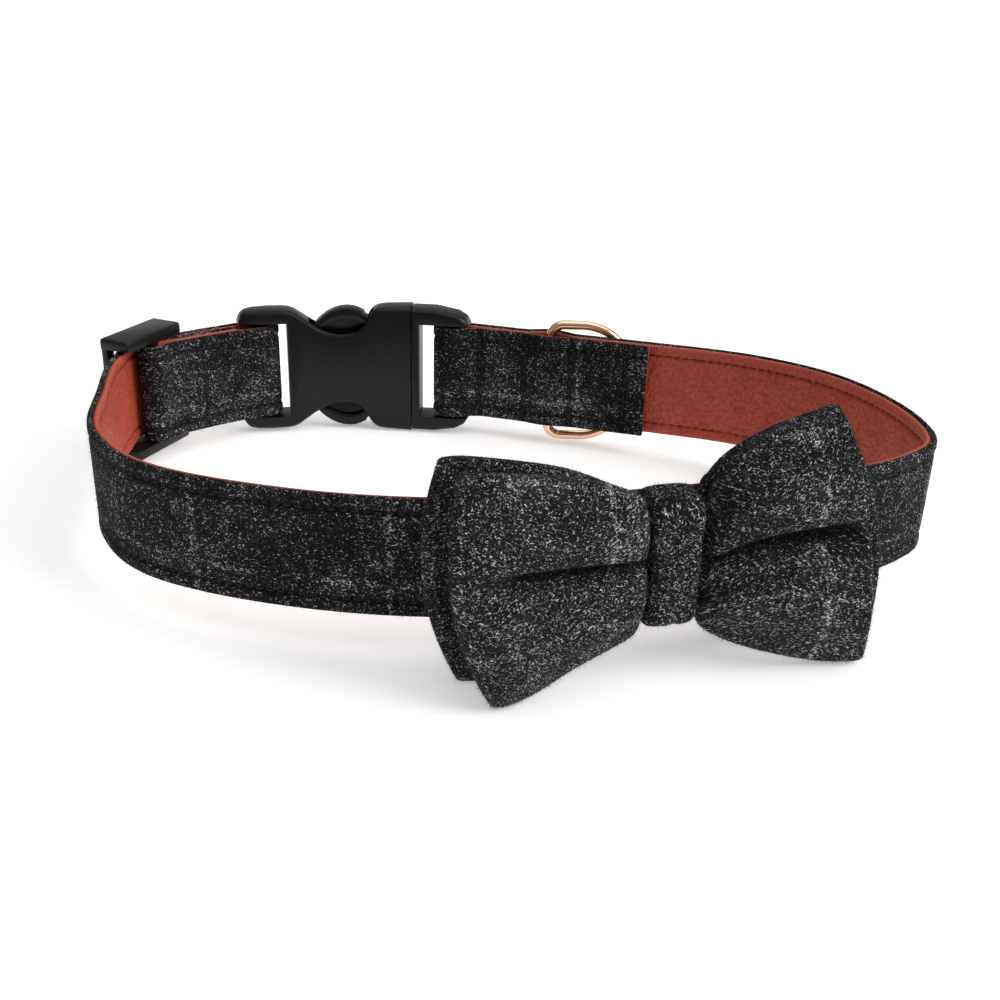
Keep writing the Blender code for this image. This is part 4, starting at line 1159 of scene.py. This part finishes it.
@dataclass
class Bow:
    """Two padded layers pinched by a knot, hung in front of the strap."""

    route: StrapRoute
    x: float = 0.028404
    centre_z: float = 0.0160
    yaw: float = math.radians(15.0)
    reach: float = 0.0400
    half_height: float = 0.0242
    thickness: float = 0.0030
    layer_gap: float = 0.0004
    front_spread: float = 0.0058
    back_spread: float = 0.0006
    front_puff: float = 0.0062
    pleat_depth: float = 0.0070
    pleat_half_width: float = 0.24
    pleat_rise: float = 0.245
    overhang: float = 0.0019
    ripple: float = 0.00022
    ripple_reach: float = 0.42
    back_puff: float = 0.0004
    knot_width: float = 0.0100
    knot_half_height: float = 0.0128
    knot_drop: float = 0.0020
    knot_wall: float = 0.0020
    knot_clearance: float = 0.0004
    knot_crown: float = 0.0007
    to_strap: float = 0.0004
    per_row: int = 10
    across: int = 44

    def place(self) -> np.ndarray:
        """The bow's own frame within the collar's.

        Returns:
            A 4 by 4 matrix.
        """
        half = self.route.length / 2
        near = np.where((self.route.distance > half * 0.5) & (self.route.line[:, 1] < 0))[0]
        s = float(self.route.distance[near[np.argmin(abs(self.route.line[near, 0] - self.x))]])
        knot_half = self.thickness + self.layer_gap / 2 + self.knot_clearance
        away = self.route.stack / 2 + self.to_strap + self.knot_wall + self.knot_crown + knot_half
        spot = self.route.aside(s, away)
        c, t = math.cos(self.yaw), math.sin(self.yaw)
        return np.array([[c, -t, 0, spot[0]], [t, c, 0, spot[1]], [0, 0, 1, self.centre_z], [0, 0, 0, 1.0]])

    def moved(self, rings: list) -> np.ndarray:
        """The rings' points, taken from the bow's frame to the collar's."""
        rows, place = np.array(rings), self.place()
        return (rows.reshape(-1, 3) @ place[:3, :3].T + place[:3, 3]).reshape(rows.shape)

    def layer(self, name: str, front: bool) -> bpy.types.Object:
        """One padded layer.

        Args:
            name: the object's name.
            front: whether it is the front one.

        Returns:
            The layer.
        """
        table = smooth_curve(FRONT_LAYER if front else BACK_LAYER, self.per_row)
        even = np.sin(np.linspace(-math.pi / 2, math.pi / 2, self.across))
        vs = np.unique(np.round(np.concatenate([even, np.linspace(-0.12, 0.54, 38)]), 4))
        rng = np.random.default_rng(21 if front else 22)
        phase = rng.uniform(0, math.tau, 6)
        rings, uvs, fuzz, edges, painted_pleat_shade = [], [], [], [], []
        travelled = 0.0
        last_x = None
        count = len(table)
        for number, row in enumerate(table):
            top, rise, bottom, drop, bulge, apart, puff, pleat = row
            reach = self.reach
            side = 1 if front else -1
            spread = self.front_spread if front else self.back_spread
            least = (self.thickness + self.layer_gap) / 2
            middle = side * (least + spread * apart)
            from_end = min(number, count - 1 - number)
            swell = min(1.0, math.sqrt(1 - (1 - min(1.0, from_end / 4)) ** 2) * 0.9 + 0.1)
            share = (vs + 1) / 2
            x = bottom * reach * (1 - share) + top * reach * share
            z = -drop * self.half_height * (1 - share) + rise * self.half_height * share
            x = x + bulge * reach * (1 if top > 0 else -1) * (1 - vs**2)
            amount = self.front_puff * max(0.0, puff) ** 0.65 if front else -self.back_puff * puff
            depth = middle + amount * (1 - vs**2) ** 0.75
            if front:
                away = vs - (0.06 + self.pleat_rise * top if top > 0 else 0.19)
                wide = np.exp(-((away / self.pleat_half_width) ** 2))
                narrow = np.exp(-((away / (0.055 + 0.08 * abs(top))) ** 2))
                depth = depth - self.pleat_depth * pleat * (0.45 * wide + 0.75 * narrow)
                z = z - self.overhang * pleat * np.exp(-(((away - 0.13) / 0.10) ** 2))
                # Painted shade in the pleat crease; the tweed reads it through the seam mark and darkens
                # there.
                dark = np.minimum(1.0, pleat * np.exp(-((away / 0.075) ** 2)))
            else:
                dark = np.zeros(len(vs))
            ripple = sum(self.ripple * math.sin(phase[k] + 5.0 * k) * np.sin((k + 1.6) * 2.1 * vs + phase[k])
                         for k in range(6))
            depth = depth + ripple * hump(abs(top), self.ripple_reach, self.ripple_reach)
            depth = side * np.maximum(side * depth, least)
            rim = 0.42 + 0.58 * (1 - abs(vs) ** 9) ** 0.5
            half = self.thickness / 2 * swell * rim
            skin = np.column_stack([x, -(depth + half), z])
            under = np.column_stack([x, -(depth - half), z])[::-1]
            ring = np.concatenate([skin, under])
            rings.append(ring)
            centre_x = float(x[len(x) // 2])
            travelled += abs(centre_x - last_x) if last_x is not None else 0.0
            last_x = centre_x
            step = np.linalg.norm(np.diff(np.vstack([ring, ring[:1]]), axis=0), axis=1)
            around = np.concatenate([[0.0], np.cumsum(step)])
            around -= around[len(vs) // 2]
            uvs.append(np.column_stack([np.full(len(around), travelled), around]))
            edge = np.clip(1.0 + 1.2 * (abs(vs) > 0.93), 0, 2.2) * (1.0 if from_end > 3 else 2.0)
            hidden = 0.0 if abs(top) < 0.15 else 1.0
            fuzz.append(np.concatenate([edge, edge[::-1] * 0.6]) * hidden)
            # The edge mark is a painted highlight along the folded top and bottom edges and across the fold
            # four stations from each end.
            crease = np.exp(-(((abs(vs) - 0.965) / 0.018) ** 2)) * 0.9
            crease = np.maximum(crease, 1.0 if from_end == 4 else 0.0) * hidden
            edges.append(np.concatenate([crease, crease[::-1]]))
            # Painted shade in the pleat crease, kept for the seam mark.
            painted_pleat_shade.append(np.concatenate([dark, dark[::-1] * 0.0]))
        marks = {"fuzz": np.array(fuzz), "edge": np.array(edges), "seam": np.array(painted_pleat_shade)}
        return grid_mesh(name, self.moved(rings), np.array(uvs), marks)

    def knot(self) -> bpy.types.Object:
        """The band wrapped round the middle.

        Returns:
            The knot.
        """
        deep = self.thickness + self.layer_gap / 2 + self.knot_clearance
        inner = self.knot_half_height - self.knot_wall
        corner = 0.0022
        outline = []
        for y, z, start in ((deep, inner, 0), (-deep, inner, 90), (-deep, -inner, 180), (deep, -inner, 270)):
            cy = y - math.copysign(corner, y)
            cz = z - math.copysign(corner, z)
            for i in range(9):
                angle = math.radians(start + 90 * i / 8)
                outline.append((cy + corner * math.cos(angle), cz + corner * math.sin(angle)))
            following = {0: (-deep, inner), 90: (-deep, -inner),
                         180: (deep, -inner), 270: (deep, inner)}[start]
            end = np.array(outline[-1])
            to = np.array([following[0] - math.copysign(corner, following[0]),
                           following[1] - math.copysign(corner, following[1])])
            to = to + {0: np.array([0, corner]), 90: np.array([-corner, 0]), 180: np.array([0, -corner]),
                       270: np.array([corner, 0])}[start]
            for t in (0.12, 0.25, 0.4, 0.5, 0.6, 0.75, 0.88):
                outline.append(tuple(end + (to - end) * t))
        line = np.array(outline)
        way = np.roll(line, -1, axis=0) - np.roll(line, 1, axis=0)
        way /= np.hypot(*way.T)[:, None]
        out = np.stack([way[:, 1], -way[:, 0]], axis=1)
        ts = np.linspace(-1, 1, 25)
        rings, uvs, fuzz = [], [], []
        gone = 0.0
        for k, ((y, z), (oy, oz)) in enumerate(zip(line, out)):
            waist = 1 - 0.06 * (1 - (z / inner) ** 2) if oy < -0.5 else 1.0
            lift = self.knot_wall * (1 - abs(ts) ** 8) ** 0.5 * 0.9 + 0.0002
            lift = lift + self.knot_crown * 0.5 * (1 - ts**2)
            fold = 0.00035 * np.exp(-(((ts + 0.55 - 0.5 * z / inner) / 0.12) ** 2)) * (oy < 0)
            fold = fold + 0.00022 * np.exp(-(((ts - 0.35 - 0.2 * z / inner) / 0.15) ** 2)) * (oy < 0)
            wide, down = self.knot_width / 2, self.knot_drop
            outer = [(t * wide * waist, y + oy * (h - f), z + oz * (h - f) - down)
                     for t, h, f in zip(ts, lift, fold)]
            inside = [(t * wide * 0.95 * waist, y, z - down) for t in (0.9, 0.3, -0.3, -0.9)]
            rings.append(outer + inside)
            if k:
                gone += float(np.hypot(*(line[k] - line[k - 1])))
            ring = np.array(outer + inside)
            step = np.linalg.norm(np.diff(np.vstack([ring, ring[:1]]), axis=0), axis=1)
            around = np.concatenate([[0.0], np.cumsum(step)])
            uvs.append(np.column_stack([around, np.full(len(around), gone)]))
            fuzz.append([0.8 if abs(t) < 0.95 else 1.6 for t in ts] + [0.0] * 4)
        uvs.append(np.column_stack([uvs[0][:, 0], np.full(len(uvs[0]), gone + 0.0006)]))
        return grid_mesh("bow_knot_cloth", self.moved(rings), np.array(uvs), {"fuzz": np.array(fuzz)},
                         capped=False, ring=True)

    def build(self, finishes: "Finishes", tools: "Tools") -> None:
        """Makes the layers, the knot and their fibres.

        Args:
            finishes: the materials.
            tools: the geometry trees.
        """
        back = show(self.layer("bow_back_cloth", False), finishes.tweed_back, Body.COLLAR,
                    "tweed_bow_back", "bow_back")
        front = show(self.layer("bow_front_cloth", True), finishes.tweed_front, Body.COLLAR,
                     "tweed_bow_front", "bow_front")
        knot = show(self.knot(), finishes.tweed_knot, Body.COLLAR, "tweed_knot", "bow_knot")
        for piece, slot, seed in ((back, "tweed_bow_back", 31), (front, "tweed_bow_front", 32),
                                  (knot, "tweed_knot", 33)):
            values = {"Density": 2.6e6, "Fibre length": 0.00120, "Fibre radius": 0.000027, "Spread": 1.3,
                      "Seed": seed, "Fibre": finishes.fibre}
            label = piece.name.replace("_cloth", "_fibres")
            show(grow(label, piece, tools.fibres, values), finishes.fibre, Body.COLLAR, slot)


# Hardware


@dataclass
class Hardware:
    """The buckle halves, the slide and the ring."""

    edge: float = 0.00060
    wire: float = 0.0012
    ring_half: float = 0.0150
    ring_corner: float = 0.0036
    ring_leg: float = 0.0045
    ring_depth: float = 0.0220
    ring_z: float = 0.0113
    ring_angle: float = math.radians(13.0)

    def soften(self, node: str, name: str, width: float) -> bpy.types.Object:
        """A copy of a CAD node with rounded edges.

        Args:
            node: the node.
            name: the copy's name.
            width: the rounding's width.

        Returns:
            The copy, its modifiers applied.
        """
        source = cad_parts[node]
        mesh = source.data.copy()
        work = bmesh.new()
        work.from_mesh(mesh)
        bmesh.ops.remove_doubles(work, verts=work.verts, dist=1e-6)
        bmesh.ops.dissolve_limit(work, angle_limit=math.radians(2.0), verts=work.verts, edges=work.edges)
        work.to_mesh(mesh)
        work.free()
        item = linked(name, mesh)
        bevel = item.modifiers.new("edge", "BEVEL")
        bevel.width = width
        bevel.segments = 3
        bevel.limit_method = "ANGLE"
        bevel.angle_limit = math.radians(32)
        graph = bpy.context.evaluated_depsgraph_get()
        made = bpy.data.meshes.new_from_object(item.evaluated_get(graph), depsgraph=graph)
        item.modifiers.clear()
        item.data = made
        made.shade_smooth()
        made.set_sharp_from_angle(angle=math.radians(50))
        return item

    def ring(self, route: StrapRoute) -> bpy.types.Object:
        """The D-ring, a bent wire.

        Args:
            route: where the strap's pocket holds it.

        Returns:
            The ring.
        """
        half = self.ring_half
        line = [(0.0, z) for z in np.linspace(0, half - self.ring_corner, 8)[:-1]]
        for angle in np.linspace(math.pi, math.pi / 2, 9):
            line.append((self.ring_corner * (1 + math.cos(angle)),
                         half - self.ring_corner * (1 - math.sin(angle))))
        leg = self.ring_corner + self.ring_leg
        arc = self.ring_depth - leg
        for angle in np.linspace(math.pi / 2, 0, 22):
            line.append((leg + arc * math.cos(angle), half * math.sin(angle)))
        line += [(x, -z) for x, z in reversed(line[1:-1])]
        path = smooth_curve([*line, line[0]], 2)[:-1]
        s = route.ring_station
        centre = route.aside(s, (route.fold(s) + route.main(s)) / 2)
        outward = route.outward(s)
        turn = math.atan2(-outward[0], outward[1]) + self.ring_angle
        along = np.array([math.cos(turn), math.sin(turn), 0.0])
        normal = np.array([-along[1], along[0], 0.0])
        way = np.roll(path, -1, axis=0) - np.roll(path, 1, axis=0)
        way /= np.hypot(*way.T)[:, None]
        rows, uvs = [], []
        for (x, z), (wx, wz) in zip(path, way):
            base = np.array([centre[0], centre[1], self.ring_z]) + along * x + np.array([0, 0, z])
            side = along * -wz + np.array([0, 0, wx])
            rows.append([base + self.wire * (math.cos(t) * side + math.sin(t) * normal)
                         for t in np.linspace(0, math.tau, 24, endpoint=False)])
            uvs.append([(len(rows) * 0.0005, k * 0.0004) for k in range(25)])
        return grid_mesh("d_ring_wire", np.array(rows), np.array(uvs), {}, capped=False, ring=True)

    def build(self, finishes: "Finishes", route: StrapRoute) -> None:
        """Makes the hard pieces.

        Args:
            finishes: the materials.
            route: the strap's route.
        """
        for node, slot, finish in (("buckle_female", "plastic_female", finishes.plastic_female),
                                   ("buckle_male", "plastic_male", finishes.plastic_male),
                                   ("slide_adjuster", "plastic_slide", finishes.plastic_slide)):
            show(self.soften(node, node + "_moulding", self.edge), finish, Body.COLLAR, slot, node)
        show(self.ring(route), finishes.gold, Body.RING, "gold_ring", "d_ring")


@dataclass
class ElasticLoops:
    """The two bands behind the bow, which are CAD nodes with a woven finish."""

    nodes: tuple = (("bow_loop_left", "elastic_left"), ("bow_loop_right", "elastic_right"))

    def build(self, finishes: "Finishes") -> None:
        """Dresses the bands.

        Args:
            finishes: the materials.
        """
        for node, slot in self.nodes:
            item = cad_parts[node]
            item.data.materials.clear()
            item.data.materials.append(finishes.elastic)
            LOG.info("%s: dressed", node)


# Everything the classes share


class Tools:
    """The geometry trees, built once."""

    def __init__(self) -> None:
        """Builds the trees."""
        self.stitches = stitch_tree()
        self.fibres = fibre_tree()


class Finishes:
    """Every material of the collar, built once."""

    def __init__(self) -> None:
        """Builds the groups and the materials."""
        weave, grain, moulding = weave_group(), grain_group(), moulding_group()
        black, dusty = (0.0045, 0.0045, 0.0050, 1.0), (0.08, 0.08, 0.08, 1.0)
        self.tweed_strap = TweedFinish("tweed strap", shift=0.011, amount=0.28).make(weave)
        self.tweed_front, self.tweed_back, self.tweed_knot = (
            TweedFinish("tweed " + name, shift=shift, amount=amount, cross=cross).make(weave)
            for name, shift, amount, cross in (("bow front", 0.113, 0.42, -0.0140),
                                               ("bow back", 0.337, 0.34, 0.0300),
                                               ("knot", 0.471, 0.46, 0.0400)))
        self.leather = LeatherFinish("brick red leather").make(grain)
        self.plastic_female, self.plastic_male, self.plastic_slide = (
            HardFinish("black plastic " + name, colour, dusty).make(moulding)
            for name, colour in (("female half", black), ("male half", black),
                                 ("slide", (0.0065, 0.0065, 0.0072, 1.0))))
        self.gold = HardFinish("pale gold plating", (0.89, 0.62, 0.42, 1.0), (0.95, 0.75, 0.58, 1.0),
                               rough=(0.10, 0.17), metallic=1.0, specular=0.5, bump=0.000006,
                               dust=0.3).make(moulding)
        self.black_thread, self.brown_thread, self.elastic = (
            ThreadFinish(name, colour, light).make() for name, colour, light in (
                ("black thread", (0.006, 0.006, 0.007, 1.0), (0.02, 0.02, 0.02, 1.0)),
                ("brown thread", (0.035, 0.012, 0.008, 1.0), (0.10, 0.03, 0.02, 1.0)),
                ("black elastic", (0.008, 0.008, 0.009, 1.0), (0.03, 0.03, 0.03, 1.0))))
        self.fibre = ThreadFinish("wool fibre", (0.008, 0.008, 0.009, 1.0), (0.10, 0.10, 0.098, 1.0),
                                  scale=420.0, rough=0.9).make()


@dataclass
class Studio:
    """The floor, the lights and the camera."""

    floor_half: float = 14.0
    floor_glow: float = 0.36
    sky: float = 0.30
    lens: float = 42.51
    camera_back: float = 0.24186
    camera_up: float = 0.11133
    pitch: float = math.radians(24.718)
    roll: float = math.radians(-1.645)

    def camera(self) -> None:
        """Sets the camera where the photograph was taken from."""
        c, s = math.cos(self.roll), math.sin(self.roll)
        cp, sp = math.cos(self.pitch), math.sin(self.pitch)
        right = Vector((c, -s * sp, -s * cp))
        up = Vector((s, c * sp, c * cp))
        back = Vector((0.0, -cp, sp))
        pose = Matrix((right, up, back)).transposed().to_4x4()
        pose.translation = Vector((0.0, -self.camera_back, self.camera_up))
        data = bpy.data.cameras.new("view")
        data.lens = self.lens
        data.sensor_width = 36.0
        data.clip_start = 0.01
        eye = linked("view", data)
        eye.matrix_world = COLLAR_PLACE @ pose
        bpy.context.scene.camera = eye

    def floor(self) -> None:
        """Lays the pale floor."""
        h = self.floor_half
        mesh = bpy.data.meshes.new("floor")
        mesh.from_pydata([(-h, -h, 0), (h, -h, 0), (h, h, 0), (-h, h, 0)], [], [(0, 1, 2, 3)])
        item = linked("floor", mesh)
        material, graph, shader = shader_of("pale floor")
        place = graph.add("ShaderNodeTexCoord").outputs["Object"]
        tone = graph.noise(place, 3.0, 2.0)
        colour = graph.blend(tone, (0.90, 0.90, 0.895, 1.0), (0.93, 0.93, 0.925, 1.0))
        graph.feed(shader.inputs["Base Color"], colour)
        shader.inputs["Roughness"].default_value = 0.7
        shader.inputs["Specular IOR Level"].default_value = 0.1
        shader.inputs["Emission Color"].default_value = (1.0, 1.0, 1.0, 1.0)
        shader.inputs["Emission Strength"].default_value = self.floor_glow
        mesh.materials.append(material)

    def stand(self, data: bpy.types.Light, place: tuple, aim: tuple = (0.0, 0.0, 0.0)) -> None:
        """Stands a light in its place.

        Args:
            data: the light.
            place: where it stands, or only the way to it for a sun.
            aim: what it points at.
        """
        item = linked(data.name, data)
        item.location = place
        item.rotation_euler = (Vector(aim) - Vector(place)).to_track_quat("-Z", "Y").to_euler()

    def sun(self, name: str, toward: tuple, share: float, spread: float,
            colour: tuple = (1.0, 1.0, 1.0)) -> None:
        """Adds one soft light that reaches the whole floor alike.

        Args:
            name: the light's name.
            toward: the direction in which the light stands.
            share: how bright a white surface that faces it looks.
            spread: how wide the light is, in degrees.
            colour: its colour.
        """
        data = bpy.data.lights.new(name, "SUN")
        data.energy = share * math.pi
        data.angle = math.radians(spread)
        data.color = colour
        self.stand(data, toward)

    def softbox(self, name: str, place: tuple, aim: tuple, size: float, watts: float) -> None:
        """Adds a square light that shows as a soft gleam on the hard pieces.

        Args:
            name: the light's name.
            place: where it stands.
            aim: what it points at.
            size: its side.
            watts: its power.
        """
        data = bpy.data.lights.new(name, "AREA")
        data.size = size
        data.energy = watts
        self.stand(data, place, aim)

    def build(self) -> None:
        """Sets up the whole studio."""
        self.camera()
        self.floor()
        self.sun("key", (0.92, -0.27, 0.58), 0.68, 34.0, (1.0, 0.99, 0.975))
        self.sun("top", (0.10, 0.05, 1.0), 0.40, 75.0)
        self.softbox("back", (-0.15, 1.35, 0.50), (0.0, 0.0, 0.02), 1.2, 1.2)
        world = bpy.data.worlds.new("studio")
        world.use_nodes = True
        sky = world.node_tree.nodes["Background"]
        sky.inputs["Color"].default_value = (1.0, 0.985, 0.97, 1.0)
        sky.inputs["Strength"].default_value = self.sky
        scene = bpy.context.scene
        scene.world = world
        scene.view_settings.view_transform = "Standard"


def main() -> None:
    """Builds every sub-assembly in order."""
    logging.basicConfig(level=logging.INFO, format="%(name)s: %(message)s")
    finishes, tools = Finishes(), Tools()
    route = StrapRoute()
    Studio().build()
    Strap(route).build(finishes, tools)
    Bow(route).build(finishes, tools)
    Hardware().build(finishes, route)
    ElasticLoops().build(finishes)


if __name__ == "__main__":
    main()
